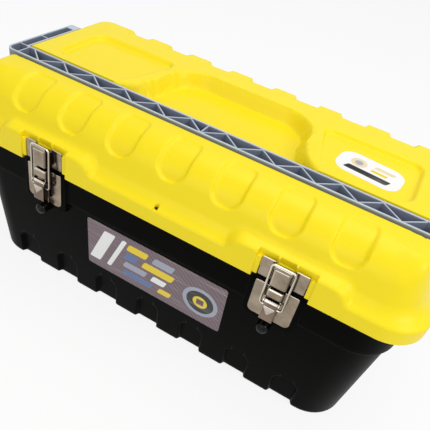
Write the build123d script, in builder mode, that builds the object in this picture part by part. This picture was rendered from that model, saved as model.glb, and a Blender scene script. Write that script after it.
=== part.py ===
from build123d import *
import os
from math import cos, radians, sin, sqrt, tan

os.makedirs("parts", exist_ok=True)

# Moulded toolbox with a lift-out tray, in millimetres, Z up, front at -Y, origin under the middle.

# Tub
tub_length = 496.0
tub_depth = 238.0
tub_draft = 4.4
tub_corner = 43.0
tub_wall = 3.0
tub_floor = 3.5
tub_edge_round = 1.8
collar_low = 140.5
collar_height = 50.5
collar_step = 3.4
# How far a joined solid reaches into its neighbour, or a cutter past the face that it cuts
bite = 1.0

# Repeated bays along the front and the rear
bay_count = 7
bay_margin = 127.0
notch_width = 28.0
notch_height = 41.0
notch_round = 9.0
notch_depth = 5.0

# Lid
lid_wall = 2.6
skirt_drop = 14.5
rim_height = 18.0
rim_corner = 42.0
skirt_wall = 2.5
skirt_gap = 2.1
seat_gap = 0.3
end_overhang = 10.2
ledge_rise = 6.5
ledge_run = 11.0
crease_corner = 38.0
lid_slope = 18.0
corner_ease = 1.0
lid_height = 53.0
front_drop = 4.0
front_round = 25.0
rear_round = 11.0
end_round = 6.0
recess_width = 32.0
recess_height = 42.0
recess_depth = 4.5
recess_low_round = 14.0
recess_high_round = 5.0
recess_drop = 27.0

# Hand hollow and pockets in the top of the lid
hollow_rear = 64.0
hollow_rear_half = 50.0
hollow_corner = 44.0
hollow_flare = 73.8
hollow_wall_run = 9.0
pocket_inner_rear = 98.0
pocket_inner_front = 120.0
pocket_margin = 27.2
pocket_front = -30.0
pocket_rear = 57.0
pocket_depth = 5.0
pocket_round = 16.0
pocket_draft = 30.0

# Carry handle
handle_inset = 4.0
handle_front = 64.5
handle_width = 22.0
handle_height = 16.4
handle_lift = 0.6
handle_wall = 2.2
handle_floor = 2.5
handle_corner = 10.0
arm_width = 15.0
arm_solid = 20.0
pivot_y = 48.0
pivot_radius = 4.0
pivot_length = 7.0
channel_depth = 18.0
channel_gap = 1.4
arm_gap = 0.8
heel_gap = 1.0
truss_margin = 22.4
truss_bays = 11
rib_thickness = 1.8
rib_drop = 0.6
end_rib_inset = 2.0

# Rear hinges
hinge_inset = 98.0
hinge_reach = 6.7
hinge_drop = 6.5
knuckle_radius = 5.5
lid_knuckle = 24.0
tub_knuckle = 16.0
knuckle_gap = 0.4
pin_radius = 2.0
pin_fit = 0.05

# Draw latches
latch_inset = 106.7
pad_rise = 1.8
sheet = 1.2
plate_width = 46.0
plate_height = 44.0
plate_gap = 1.0
plate_round = 6.0
plate_rib_width = 13.0
plate_rib_height = 18.5
plate_rib_rise = 1.4
pad_margin = 6.0
bridge_half = 8.5
bridge_height = 9.0
bridge_rise = 9.2
lever_pin_drop = 4.5
lever_pin_out = 8.0
lever_pin_radius = 1.5
ear_radius = 3.4
lug_gap = 0.3
lever_front = 11.0
lever_face = 4.5
lever_grip_gap = 6.0
lever_grip_depth = 7.0
lever_mark_half = 6.0
lever_mark_height = 8.0
lever_mark_rise = 0.8
wire_radius = 1.2
bail_half = 10.9
bail_drop = 6.5
bail_out = 7.0
bail_bend = 3.0
keeper_width = 48.0
keeper_rise = 10.5
keeper_height = 19.6
hook_half = 9.0
hook_drop = 0.8
hook_lip = 2.2
hook_gap = 0.3
keeper_margin = 3.5
slot_drop = 3.6
keeper_tab_half = 9.0
boss_half = 61.0
boss_rise = 7.5
boss_round = 18.0
boss_draft = 0.3
rivet_radius = 1.6
rivet_head = 2.4
rivet_head_rise = 0.7
rivet_depth = 4.0
rivet_fit = 0.05
stud_radius = 8.0
stud_drop = 7.5
stud_reach = 12.0
stud_taper = 5.0
stud_nose_round = 5.0
padlock_radius = 2.2

# Lift-out tray
tray_depth = 47.5
tray_gap = 0.8
tray_seat = 0.3
tray_flange = 3.0
tray_inset = 13.0
tray_draft = 10.0
tray_wall = 2.2
tray_corner = 34.0
tray_web = 5.0
tray_divider_x = 92.0
tray_divider_drop = 10.0
tray_headroom = 31.4
tray_grip_half = 78.0
tray_grip_round = 22.0
tray_hole_length = 100.0
tray_hole_height = 28.0

# Labels
label_margin = 50.8
label_height = 74.5
label_x = 4.0
label_drop = 44.0
label_round = 3.5
label_thick = 0.4
sticker_end_margin = 13.5
sticker_side_margin = 21.0
sticker_shift_x = -2.5
sticker_shift_y = -5.5
sticker_turn = -6.0
sticker_round = 16.0

# Values that follow from the sizes above
draft_rate = tan(radians(tub_draft))
collar_top = collar_low + collar_height
collar_length = tub_length + 2 * (collar_low * draft_rate + collar_step)
collar_depth = tub_depth + 2 * (collar_low * draft_rate + collar_step)
shelf_z = collar_low + tub_wall
bay_pitch = (tub_length - bay_margin) / (bay_count - 1)
rim_low = collar_top - skirt_drop
rim_length = collar_length + 2 * (skirt_gap + skirt_wall + end_overhang)
rim_depth = collar_depth + 2 * (skirt_gap + skirt_wall)
rim_top = rim_low + rim_height
seat_z = collar_top + seat_gap
crease_z = rim_top + ledge_rise
crease_length = rim_length - 2 * ledge_run
crease_depth = rim_depth - 2 * ledge_run
slope_rate = tan(radians(lid_slope))
rear_top = crease_z + lid_height
front_top = rear_top - front_drop
recess_low_z = front_top - recess_drop
channel_floor = rear_top - channel_depth
channel_front = handle_front + channel_gap
channel_rear = handle_front - handle_width - channel_gap
handle_half = crease_length / 2 - handle_inset
handle_low = channel_floor + handle_lift
arm_inner = handle_half - arm_width
pivot_z = handle_low + handle_height / 2
step_inner = arm_inner - arm_gap
step_rear = pivot_y + handle_height / 2 + heel_gap
pocket_outer = step_inner - pocket_margin
truss_pitch = (2 * arm_inner - truss_margin) / truss_bays
hinge_x = tub_length / 2 - hinge_inset
hinge_y = rim_depth / 2 + hinge_reach
hinge_z = rim_low - hinge_drop
latch_x = tub_length / 2 - latch_inset
latch_plane = collar_depth / 2 + pad_rise
plate_high = rim_low - plate_gap
plate_low = plate_high - plate_height
plate_rib_high = plate_low + plate_rib_height
bridge_low = plate_high - bridge_height
ear_outer = bridge_half
ear_inner = bridge_half - sheet
lever_pin_z = bridge_low - lever_pin_drop
lever_mark_z = lever_pin_z - lever_face
lever_grip_low = plate_low + lever_grip_gap
lug_outer = ear_inner - lug_gap
keeper_low = rim_low + keeper_rise
keeper_high = keeper_low + keeper_height
keeper_notch_half = keeper_width / 2 + keeper_margin
hook_top = keeper_high - hook_drop
bail_low = lever_pin_z - bail_drop
bail_high = hook_top + hook_gap + wire_radius
lip_out = bail_out + wire_radius + hook_gap
rivet_levels = (plate_low + plate_rib_width / 2, plate_rib_high - plate_rib_width / 2)
keeper_rivet_z = (keeper_low + hook_top) / 2
keeper_rivet_x = hook_half / 2
slot_floor = crease_depth / 2 - bite
slot_low = keeper_high - slot_drop
boss_top = crease_z + boss_rise
stud_z = plate_low - stud_drop
stud_nose = latch_plane + stud_reach
tray_low = shelf_z - tray_depth
tray_grip_top = channel_floor - lid_wall - tray_headroom
label_length = 2 * (latch_x - label_margin)
label_z = collar_low - label_drop
sticker_length = pocket_outer - pocket_inner_front - 2 * sticker_end_margin
sticker_height = pocket_rear - pocket_front - 2 * sticker_side_margin
sticker_x = (pocket_inner_front + pocket_outer) / 2 + sticker_shift_x
sticker_y = (pocket_rear + pocket_front) / 2 + sticker_shift_y
SIDES = (("left", -1), ("right", 1))


def tub_frustum(low, high, inset):
    """Tapered tub body between two heights, drawn in by inset."""
    with BuildPart() as solid:
        for level in (low, high):
            grow = 2 * (level * draft_rate - inset)
            with BuildSketch(Plane.XY.offset(level)):
                RectangleRounded(tub_length + grow, tub_depth + grow, tub_corner - inset)
        loft(ruled=True)
    return solid.part


def tub_notches(grow, depth):
    """Row of bottom notches, front and rear, grown by grow and cut to depth below the drafted face."""
    core = tub_frustum(-notch_height, 2 * notch_height, depth)
    with BuildPart() as solid:
        with BuildSketch(Plane.XZ) as outline:
            with GridLocations(bay_pitch, 0, bay_count, 1):
                Rectangle(notch_width + 2 * grow, 2 * (notch_height + grow))
            fillet(outline.vertices().group_by(Axis.Y)[-1], notch_round + grow)
        extrude(amount=tub_depth, both=True)
        add(core, mode=Mode.SUBTRACT)
    return solid.part


def lid_core(inset):
    """Upper body of the lid, with handle channel and arm steps, drawn in by inset."""
    drawn_in = inset / cos(radians(lid_slope))
    front_z = front_top - inset
    rear_z = rear_top - inset
    floor_z = channel_floor - inset

    def slope_at(half, level):
        """Half size of the sloping side at a height."""
        return half - (level - crease_z) * slope_rate - drawn_in

    def half_depth(level):
        """Half depth between the front and rear slopes at a height."""
        return slope_at(crease_depth / 2, level)

    def half_length(level):
        """Half length between the end slopes at a height."""
        return slope_at(crease_length / 2, level)

    with BuildPart() as solid:
        with BuildSketch(Plane.YZ) as section:
            with BuildLine():
                Polyline(
                    (-half_depth(seat_z), seat_z),
                    (-half_depth(front_z), front_z),
                    (-channel_front - inset, front_z),
                    (-channel_front - inset, floor_z),
                    (-channel_rear + inset, floor_z),
                    (-channel_rear + inset, rear_z),
                    (half_depth(rear_z), rear_z),
                    (half_depth(seat_z), seat_z),
                    close=True,
                )
            make_face()
            across = section.vertices().sort_by(Axis.X)
            fillet(across[1], front_round - inset)
            across = section.vertices().sort_by(Axis.X)
            fillet(across[-2], rear_round - inset)
        extrude(amount=rim_length, both=True)
        with BuildSketch(Plane.XZ) as profile:
            with BuildLine():
                Polyline(
                    (-half_length(seat_z), seat_z),
                    (-half_length(rear_z), rear_z),
                    (half_length(rear_z), rear_z),
                    (half_length(seat_z), seat_z),
                    close=True,
                )
            make_face()
            fillet(profile.vertices().group_by(Axis.Y)[-1], max(end_round - inset, end_round / 6))
        extrude(amount=rim_depth, both=True, mode=Mode.INTERSECT)
        with BuildSketch(Plane.XY.offset(seat_z)):
            RectangleRounded(
                2 * (half_length(seat_z) + corner_ease),
                2 * (half_depth(seat_z) + corner_ease),
                crease_corner - inset,
            )
        extrude(amount=rear_top - seat_z + corner_ease, taper=lid_slope, mode=Mode.INTERSECT)
        step_low = -channel_front - inset
        step_high = step_rear + inset
        for sign in (-1, 1):
            with BuildSketch(Plane.XY.offset(floor_z)):
                with Locations((sign * (step_inner - inset + rim_length / 2), (step_low + step_high) / 2)):
                    Rectangle(rim_length, step_high - step_low)
            extrude(amount=rear_top, mode=Mode.SUBTRACT)
    return solid.part


def lid_recesses(grow, depth):
    """Row of shoulder recesses, front and rear, grown by grow and cut to depth below the shoulder."""
    core = lid_core(depth)
    low_y = crease_depth / 2 - (recess_low_z - crease_z) * slope_rate
    recess_sink = 2 * recess_depth
    with BuildPart() as solid:
        for sign in (-1, 1):
            face = Plane(
                origin=(0, sign * (low_y - recess_sink), recess_low_z - recess_sink),
                x_dir=(-sign, 0, 0),
                z_dir=(0, sign, 1),
            )
            with BuildSketch(face) as outline:
                with Locations((0, recess_height / 2)):
                    with GridLocations(bay_pitch, 0, bay_count, 1):
                        Rectangle(recess_width + 2 * grow, recess_height + 2 * grow)
                rows = outline.vertices().group_by(Axis.Y)
                fillet(rows[0], recess_low_round + grow)
                rows = outline.vertices().group_by(Axis.Y)
                fillet(rows[-1], recess_high_round + grow)
            extrude(amount=4 * recess_sink)
        add(core, mode=Mode.SUBTRACT)
    return solid.part


def hollow_wire(spread):
    """Right half of the outline of the hand hollow, moved outward by spread."""
    arc = hollow_corner + spread
    side_x = hollow_rear_half + arc
    arc_y = hollow_rear - hollow_corner
    flare = hollow_flare - spread
    flare_x = side_x + flare
    drop = arc_y + channel_rear
    half_turn = sqrt(flare * flare - drop * drop) / flare
    mid = sqrt((1 + half_turn) / 2)
    end_x = flare_x - flare * half_turn
    front_y = -(channel_front + channel_rear) / 2
    corner_mid = (hollow_rear_half + arc * sin(radians(45)), arc_y + arc * sin(radians(45)))
    flare_mid = (flare_x - flare * mid, arc_y - flare * sqrt(1 - mid * mid))
    with BuildLine() as half:
        Line((0, hollow_rear + spread), (hollow_rear_half, hollow_rear + spread))
        ThreePointArc((hollow_rear_half, hollow_rear + spread), corner_mid, (side_x, arc_y))
        ThreePointArc((side_x, arc_y), flare_mid, (end_x, -channel_rear))
        Line((end_x, -channel_rear), (end_x, front_y))
        Line((end_x, front_y), (0, front_y))
        mirror(about=Plane.YZ)
    return half.line


def hand_hollow(grow):
    """Hand hollow with sloping walls, grown by grow."""
    with BuildPart() as solid:
        for level, spread in ((channel_floor - grow, grow - hollow_wall_run), (rear_top + grow, grow)):
            with BuildSketch(Plane.XY.offset(level)):
                add(hollow_wire(spread))
                make_face()
        loft(ruled=True)
    return solid.part


def top_pockets(grow):
    """The two shallow pockets, grown by grow."""
    corners = (
        (pocket_inner_rear - grow, pocket_rear + grow),
        (pocket_outer + grow, pocket_rear + grow),
        (pocket_outer + grow, pocket_front - grow),
        (pocket_inner_front - grow, pocket_front - grow),
    )
    with BuildPart() as solid:
        with BuildSketch(Plane.XY.offset(rear_top)) as outline:
            with BuildLine():
                Polyline(*corners, close=True)
            make_face()
            fillet(outline.vertices(), pocket_round)
        extrude(amount=-(pocket_depth + grow), taper=pocket_draft)
        mirror(about=Plane.YZ)
    return solid.part


def latch_side(x):
    """Plane across a latch: local x is the distance out from the latch plane, local y is the height."""
    return Plane(origin=(x, -latch_plane, 0), x_dir=(0, -1, 0), z_dir=(-1, 0, 0))


def latch_front(out):
    """Plane that faces forward, out from the latch plane."""
    return Plane.XZ.offset(latch_plane + out)


# Tub, hollow down to its floor, with the shelf that carries the tray
notch_cut = tub_notches(0, notch_depth)
notch_islands = tub_notches(tub_wall, notch_depth + tub_wall)
tub_outer = tub_frustum(0, collar_low, 0)
tub_inner = tub_frustum(tub_floor, shelf_z, tub_wall)

with BuildPart() as tub_cavity:
    add(tub_inner)
    with BuildSketch(Plane.XY.offset(shelf_z)):
        RectangleRounded(collar_length - 2 * tub_wall, collar_depth - 2 * tub_wall, tub_corner)
    extrude(amount=collar_height)
    add(notch_islands, mode=Mode.SUBTRACT)

pad_low = plate_low - pad_margin
pad_high = rim_low - plate_gap
pad_half = plate_width / 2 + pad_margin
pad_root = tub_depth / 2 + pad_low * draft_rate - tub_wall / 2
knuckle_shift = (lid_knuckle + tub_knuckle) / 2 + knuckle_gap

with BuildPart() as base_tub:
    add(tub_outer)
    fillet(base_tub.faces().sort_by(Axis.Z)[0].edges(), tub_edge_round)
    with BuildSketch(Plane.XY.offset(collar_low)):
        RectangleRounded(collar_length, collar_depth, tub_corner + collar_step)
    extrude(amount=collar_height)
    add(notch_cut, mode=Mode.SUBTRACT)
    for side, sign in SIDES:
        with BuildSketch(latch_front(0)) as pad:
            with Locations((sign * latch_x, (pad_low + pad_high) / 2)):
                Rectangle(2 * pad_half, pad_high - pad_low)
            fillet(pad.vertices().group_by(Axis.Y)[0], plate_round)
        extrude(amount=pad_root - latch_plane)
        with BuildSketch(Plane.XZ.offset(pad_root)):
            with Locations((sign * latch_x, stud_z)):
                Circle(stud_radius)
        extrude(amount=stud_nose - pad_root, taper=stud_taper)
        for shift in (-knuckle_shift, knuckle_shift):
            with BuildSketch(Plane.YZ.offset(sign * hinge_x + shift)):
                with Locations((hinge_y, hinge_z)):
                    Rectangle(
                        hinge_y - collar_depth / 2 + bite,
                        2 * knuckle_radius,
                        align=(Align.MAX, Align.CENTER),
                    )
                    Circle(knuckle_radius)
                    Circle(pin_radius + pin_fit, mode=Mode.SUBTRACT)
            extrude(amount=tub_knuckle / 2, both=True)
    noses = base_tub.faces().filter_by(Plane.XZ).sort_by(Axis.Y)[0:2]
    fillet(noses.edges(), stud_nose_round)
    add(tub_cavity.part, mode=Mode.SUBTRACT)
    for side, sign in SIDES:
        with BuildSketch(latch_front(0)):
            with Locations(*[(sign * latch_x, level) for level in rivet_levels]):
                Circle(rivet_radius + rivet_fit)
        extrude(amount=-rivet_depth, mode=Mode.SUBTRACT)
base_tub.part.label = "base_tub"
export_step(base_tub.part, "parts/base_tub.step")

# Lid, a shell that follows its outer shape
lid_outer = lid_core(0)
lid_inner = lid_core(lid_wall)
recess_cut = lid_recesses(0, recess_depth)
recess_islands = lid_recesses(lid_wall, recess_depth + lid_wall)
hollow_cut = hand_hollow(0)
hollow_island = hand_hollow(lid_wall)
pocket_cut = top_pockets(0)
pocket_islands = top_pockets(lid_wall)

with BuildPart() as lid_cavity:
    with BuildSketch(Plane.XY.offset(rim_low - bite)):
        RectangleRounded(rim_length - 2 * skirt_wall, rim_depth - 2 * skirt_wall, rim_corner - skirt_wall)
    extrude(amount=seat_z - rim_low + bite)
    add(lid_inner)
    add(recess_islands, mode=Mode.SUBTRACT)
    add(hollow_island, mode=Mode.SUBTRACT)
    add(pocket_islands, mode=Mode.SUBTRACT)
    for sign in (-1, 1):
        with BuildSketch(Plane.YZ.offset(sign * step_inner)):
            with Locations((pivot_y, pivot_z)):
                Circle(pivot_radius + lid_wall)
        extrude(amount=-sign * (pivot_length + lid_wall), mode=Mode.SUBTRACT)

boss_low = rim_low + lid_wall
boss_run = rim_depth / 2 - crease_depth / 2 + 2 * lid_wall

with BuildPart() as lid_shell:
    with BuildSketch(Plane.XY.offset(rim_low)):
        RectangleRounded(rim_length, rim_depth, rim_corner)
    extrude(amount=rim_height)
    with BuildSketch(Plane.XY.offset(rim_top)):
        RectangleRounded(rim_length, rim_depth, rim_corner)
    with BuildSketch(Plane.XY.offset(crease_z)):
        RectangleRounded(crease_length, crease_depth, crease_corner)
    loft(ruled=True)
    add(lid_outer)
    for side, sign in SIDES:
        for run in (0, boss_run):
            with BuildSketch(Plane.XZ.offset(rim_depth / 2 - run)) as arch:
                with Locations((sign * latch_x, boss_top + boss_draft * run)):
                    Rectangle(
                        2 * (boss_half + boss_draft * run),
                        boss_top - boss_low + boss_draft * run,
                        align=(Align.CENTER, Align.MAX),
                    )
                fillet(arch.vertices().group_by(Axis.Y)[-1], boss_round)
        loft(ruled=True)
        with BuildSketch(Plane.YZ.offset(sign * hinge_x)):
            with BuildLine():
                Polyline(
                    (rim_depth / 2 - skirt_wall / 2, rim_low),
                    (rim_depth / 2 - skirt_wall / 2, rim_top),
                    (hinge_y + knuckle_radius, hinge_z + 2 * knuckle_radius),
                    (hinge_y + knuckle_radius, hinge_z),
                    (hinge_y, hinge_z),
                    close=True,
                )
            make_face()
            with Locations((hinge_y, hinge_z)):
                Circle(knuckle_radius)
                Circle(pin_radius + pin_fit, mode=Mode.SUBTRACT)
        extrude(amount=lid_knuckle / 2, both=True)
    add(recess_cut, mode=Mode.SUBTRACT)
    add(hollow_cut, mode=Mode.SUBTRACT)
    add(pocket_cut, mode=Mode.SUBTRACT)
    add(lid_cavity.part, mode=Mode.SUBTRACT)
    for side, sign in SIDES:
        with BuildSketch(Plane.XZ.offset(rim_depth / 2 + bite)):
            with Locations((sign * latch_x, (rim_low - bite + slot_low) / 2)):
                Rectangle(2 * keeper_notch_half, slot_low - rim_low + bite)
            with Locations((sign * latch_x, slot_low + (crease_z - rim_low) / 4)):
                Rectangle(2 * keeper_tab_half, (crease_z - rim_low) / 2)
        extrude(amount=-(rim_depth / 2 + bite - latch_plane), mode=Mode.SUBTRACT)
        with BuildSketch(Plane.XZ.offset(rim_depth / 2 + bite)):
            with Locations((sign * latch_x, slot_low + (crease_z - rim_low) / 4)):
                Rectangle(2 * keeper_notch_half, (crease_z - rim_low) / 2)
                Rectangle(2 * keeper_tab_half, (crease_z - rim_low) / 2, mode=Mode.SUBTRACT)
        extrude(amount=-(rim_depth / 2 + bite - slot_floor), mode=Mode.SUBTRACT)
        with BuildSketch(latch_front(0)):
            with Locations((sign * latch_x, keeper_rivet_z)):
                with GridLocations(2 * keeper_rivet_x, 0, 2, 1):
                    Circle(rivet_radius + rivet_fit)
        extrude(amount=-rivet_depth, mode=Mode.SUBTRACT)
        with BuildSketch(Plane.YZ.offset(sign * step_inner)):
            with Locations((pivot_y, pivot_z)):
                Circle(pivot_radius + pin_fit)
        extrude(amount=-sign * pivot_length, mode=Mode.SUBTRACT)
    with BuildSketch(Plane.XY.offset(seat_z - bite)):
        with Locations((0, -(rim_depth + crease_depth) / 4)):
            Circle(padlock_radius)
    extrude(amount=crease_z - seat_z + 2 * bite, mode=Mode.SUBTRACT)
lid_shell.part.label = "lid_shell"
export_step(lid_shell.part, "parts/lid_shell.step")

# Hinge pins
for side, sign in SIDES:
    with BuildPart() as hinge_pin:
        with BuildSketch(Plane.YZ.offset(sign * hinge_x)):
            with Locations((hinge_y, hinge_z)):
                Circle(pin_radius)
        extrude(amount=lid_knuckle / 2 + knuckle_gap + tub_knuckle, both=True)
        chamfer(hinge_pin.edges().filter_by(GeomType.CIRCLE), pin_radius / 6)
    hinge_pin.part.label = f"hinge_pin_{side}"
    export_step(hinge_pin.part, f"parts/hinge_pin_{side}.step")

# Carry handle, an open channel with a zig-zag of ribs
bar_rear = handle_front - handle_width
bar_low_wall = -handle_front + handle_wall
bar_high_wall = -bar_rear - handle_wall
rib_top = handle_height - rib_drop
end_rib_x = arm_inner - end_rib_inset
truss_points = [
    (
        (index - truss_bays) * truss_pitch / 2,
        bar_high_wall if index % 2 == 0 else bar_low_wall,
    )
    for index in range(2 * truss_bays + 1)
]

with BuildPart() as carry_handle:
    with BuildSketch(Plane.XY.offset(handle_low)) as bow:
        with Locations((0, -handle_front)):
            Rectangle(2 * handle_half, handle_front + pivot_y, align=(Align.CENTER, Align.MIN))
        with Locations((0, -bar_rear)):
            Rectangle(
                2 * arm_inner,
                bar_rear + pivot_y + bite,
                align=(Align.CENTER, Align.MIN),
                mode=Mode.SUBTRACT,
            )
        fillet(bow.vertices().group_by(Axis.Y)[0], handle_corner)
    extrude(amount=handle_height)
    with BuildSketch(Plane.XY.offset(handle_low + handle_floor)) as trough:
        with Locations((0, bar_low_wall)):
            Rectangle(
                2 * (handle_half - handle_wall),
                -bar_low_wall + pivot_y - arm_solid / 2,
                align=(Align.CENTER, Align.MIN),
            )
        with Locations((0, bar_high_wall)):
            Rectangle(
                2 * (arm_inner + handle_wall),
                -bar_high_wall + pivot_y,
                align=(Align.CENTER, Align.MIN),
                mode=Mode.SUBTRACT,
            )
        fillet(trough.vertices().group_by(Axis.Y)[0], handle_corner - handle_wall)
    extrude(amount=handle_height, mode=Mode.SUBTRACT)
    for sign in (-1, 1):
        with BuildSketch(Plane.YZ.offset(sign * arm_inner)):
            with Locations((pivot_y, pivot_z)):
                Circle(handle_height / 2)
        extrude(amount=sign * arm_width)
        with BuildSketch(Plane.YZ.offset(sign * arm_inner)):
            with Locations((pivot_y, pivot_z)):
                Circle(pivot_radius)
        extrude(amount=-sign * (pivot_length - pin_fit))
    with BuildSketch(Plane.XY.offset(handle_low + handle_floor)):
        with BuildLine():
            Polyline(*truss_points)
        trace(line_width=rib_thickness)
        with Locations((0, (bar_low_wall + bar_high_wall) / 2)):
            with GridLocations(end_rib_x, 0, 3, 1):
                Rectangle(rib_thickness, handle_width - handle_wall)
        with Locations((0, (pivot_y - bar_rear - arm_solid) / 2), (0, -bar_rear)):
            with GridLocations(2 * handle_half - arm_width, 0, 2, 1):
                Rectangle(arm_width - handle_wall, rib_thickness)
    extrude(amount=rib_top - handle_floor)
    with BuildSketch(Plane.XY.offset(handle_low + handle_floor)):
        with Locations((0, bar_low_wall + handle_wall + rib_thickness)):
            Rectangle(2 * arm_inner, rib_thickness)
    extrude(amount=handle_height / 3)
carry_handle.part.label = "carry_handle"
export_step(carry_handle.part, "parts/carry_handle.step")

# Draw latches
for side, sign in SIDES:
    latch_mid = sign * latch_x

    with BuildPart() as latch_plate:
        with BuildSketch(latch_front(0)) as blank:
            with Locations((latch_mid, (plate_low + plate_high) / 2)):
                Rectangle(plate_width, plate_high - plate_low)
            fillet(blank.vertices().group_by(Axis.Y)[0], plate_round)
        extrude(amount=sheet)
        with BuildSketch(latch_front(0)):
            with Locations((latch_mid, (plate_low + plate_rib_high) / 2)):
                Rectangle(plate_rib_width, plate_rib_high - plate_low)
        extrude(amount=sheet + plate_rib_rise)
        with BuildSketch(latch_front(0)):
            with Locations((latch_mid, (bridge_low + plate_high) / 2)):
                Rectangle(2 * bridge_half, plate_high - bridge_low)
        extrude(amount=bridge_rise)
        with BuildSketch(latch_front(0)):
            with Locations((latch_mid, (bridge_low + plate_high) / 2)):
                Rectangle(2 * ear_inner, plate_high - bridge_low - 2 * sheet)
        extrude(amount=bridge_rise - sheet, mode=Mode.SUBTRACT)
        for ear in (-1, 1):
            ear_mid = latch_mid + ear * (ear_inner + ear_outer) / 2
            with BuildSketch(latch_side(ear_mid)):
                with Locations((lever_pin_out, lever_pin_z)):
                    Circle(ear_radius)
                with Locations((0, lever_pin_z)):
                    Rectangle(bridge_rise, lever_pin_drop + sheet, align=(Align.MIN, Align.MIN))
            extrude(amount=(ear_outer - ear_inner) / 2, both=True)
        with BuildSketch(latch_side(latch_mid)):
            with Locations((lever_pin_out, lever_pin_z)):
                Circle(lever_pin_radius + pin_fit)
        extrude(amount=2 * bridge_half, both=True, mode=Mode.SUBTRACT)
        with BuildSketch(latch_front(0)):
            with Locations(*[(latch_mid, level) for level in rivet_levels]):
                Circle(rivet_radius + rivet_fit)
        extrude(amount=bridge_rise, mode=Mode.SUBTRACT)
    latch_plate.part.label = f"latch_plate_{side}"
    export_step(latch_plate.part, f"parts/latch_plate_{side}.step")

    with BuildPart() as plate_rivets:
        with BuildSketch(latch_front(sheet + plate_rib_rise)):
            with Locations(*[(latch_mid, level) for level in rivet_levels]):
                Circle(rivet_head)
        extrude(amount=rivet_head_rise)
        chamfer(plate_rivets.faces().sort_by(Axis.Y)[0:2].edges(), rivet_head_rise / 2)
        with BuildSketch(latch_front(sheet + plate_rib_rise)):
            with Locations(*[(latch_mid, level) for level in rivet_levels]):
                Circle(rivet_radius)
        extrude(amount=-(sheet + plate_rib_rise + rivet_depth - rivet_fit))
    plate_rivets.part.label = f"plate_rivets_{side}"
    export_step(plate_rivets.part, f"parts/plate_rivets_{side}.step")

    with BuildPart() as lever_pin:
        with BuildSketch(latch_side(latch_mid)):
            with Locations((lever_pin_out, lever_pin_z)):
                Circle(lever_pin_radius)
        extrude(amount=ear_outer + lug_gap, both=True)
    lever_pin.part.label = f"lever_pin_{side}"
    export_step(lever_pin.part, f"parts/lever_pin_{side}.step")

    with BuildPart() as latch_lever:
        for lug in (-1, 1):
            with BuildSketch(latch_side(latch_mid + lug * (lug_outer - sheet / 2))):
                with Locations((lever_pin_out, lever_pin_z)):
                    Circle(lever_front - lever_pin_out)
                with Locations((bail_out, bail_low)):
                    Circle(2 * wire_radius)
                with BuildLine():
                    Polyline(
                        (lever_pin_out - 2 * wire_radius, lever_pin_z),
                        (lever_front, lever_pin_z),
                        (lever_front, bail_low),
                        (bail_out - 2 * wire_radius, bail_low),
                        close=True,
                    )
                make_face()
                with Locations((lever_front, lever_grip_low)):
                    Rectangle(lever_grip_depth, bail_low - lever_grip_low, align=(Align.MAX, Align.MIN))
                with Locations((lever_pin_out, lever_pin_z)):
                    Circle(lever_pin_radius + pin_fit, mode=Mode.SUBTRACT)
                with Locations((bail_out, bail_low)):
                    Circle(wire_radius + pin_fit, mode=Mode.SUBTRACT)
            extrude(amount=sheet / 2, both=True)
        with BuildSketch(latch_front(lever_front)):
            with Locations((latch_mid, (lever_pin_z + lever_grip_low) / 2)):
                Rectangle(2 * lug_outer, lever_pin_z - lever_grip_low)
        extrude(amount=-sheet)
        with BuildSketch(latch_front(lever_front)):
            with Locations((latch_mid, lever_grip_low)):
                Rectangle(2 * lug_outer, sheet, align=(Align.CENTER, Align.MIN))
        extrude(amount=-lever_grip_depth)
        with BuildSketch(latch_front(lever_front)):
            with BuildLine():
                Polyline(
                    (latch_mid - lever_mark_half, lever_mark_z),
                    (latch_mid + lever_mark_half, lever_mark_z),
                    (latch_mid, lever_mark_z - lever_mark_height),
                    close=True,
                )
            make_face()
        extrude(amount=lever_mark_rise)
    latch_lever.part.label = f"latch_lever_{side}"
    export_step(latch_lever.part, f"parts/latch_lever_{side}.step")

    with BuildPart() as latch_bail:
        with BuildLine(latch_front(bail_out)) as loop:
            FilletPolyline(
                (latch_mid - lug_outer + sheet, bail_low),
                (latch_mid - bail_half, bail_low),
                (latch_mid - bail_half, bail_high),
                (latch_mid + bail_half, bail_high),
                (latch_mid + bail_half, bail_low),
                (latch_mid + lug_outer - sheet, bail_low),
                radius=bail_bend - wire_radius / 2,
            )
        with BuildSketch(Plane(origin=loop.line @ 0, z_dir=loop.line % 0)):
            Circle(wire_radius)
        sweep()
    latch_bail.part.label = f"latch_bail_{side}"
    export_step(latch_bail.part, f"parts/latch_bail_{side}.step")

    with BuildPart() as latch_keeper:
        with BuildSketch(latch_front(0)):
            with Locations((latch_mid, (keeper_low + keeper_high) / 2)):
                Rectangle(keeper_width, keeper_high - keeper_low)
        extrude(amount=sheet)
        with BuildSketch(latch_side(latch_mid)):
            with BuildLine():
                Polyline(
                    (0, keeper_low),
                    (lip_out + sheet, keeper_low),
                    (lip_out + sheet, hook_top + hook_lip),
                    (lip_out, hook_top + hook_lip),
                    (lip_out, hook_top),
                    (0, hook_top),
                    close=True,
                )
            make_face()
        extrude(amount=hook_half, both=True)
        with BuildSketch(latch_side(latch_mid)):
            with BuildLine():
                Polyline(
                    (sheet, keeper_low + sheet),
                    (lip_out, keeper_low + sheet),
                    (lip_out, hook_top - sheet),
                    (sheet, hook_top - sheet),
                    close=True,
                )
            make_face()
        extrude(amount=hook_half, both=True, mode=Mode.SUBTRACT)
        with BuildSketch(latch_front(0)):
            with Locations((latch_mid, keeper_rivet_z)):
                with GridLocations(2 * keeper_rivet_x, 0, 2, 1):
                    Circle(rivet_radius + rivet_fit)
        extrude(amount=sheet, mode=Mode.SUBTRACT)
    latch_keeper.part.label = f"latch_keeper_{side}"
    export_step(latch_keeper.part, f"parts/latch_keeper_{side}.step")

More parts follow.
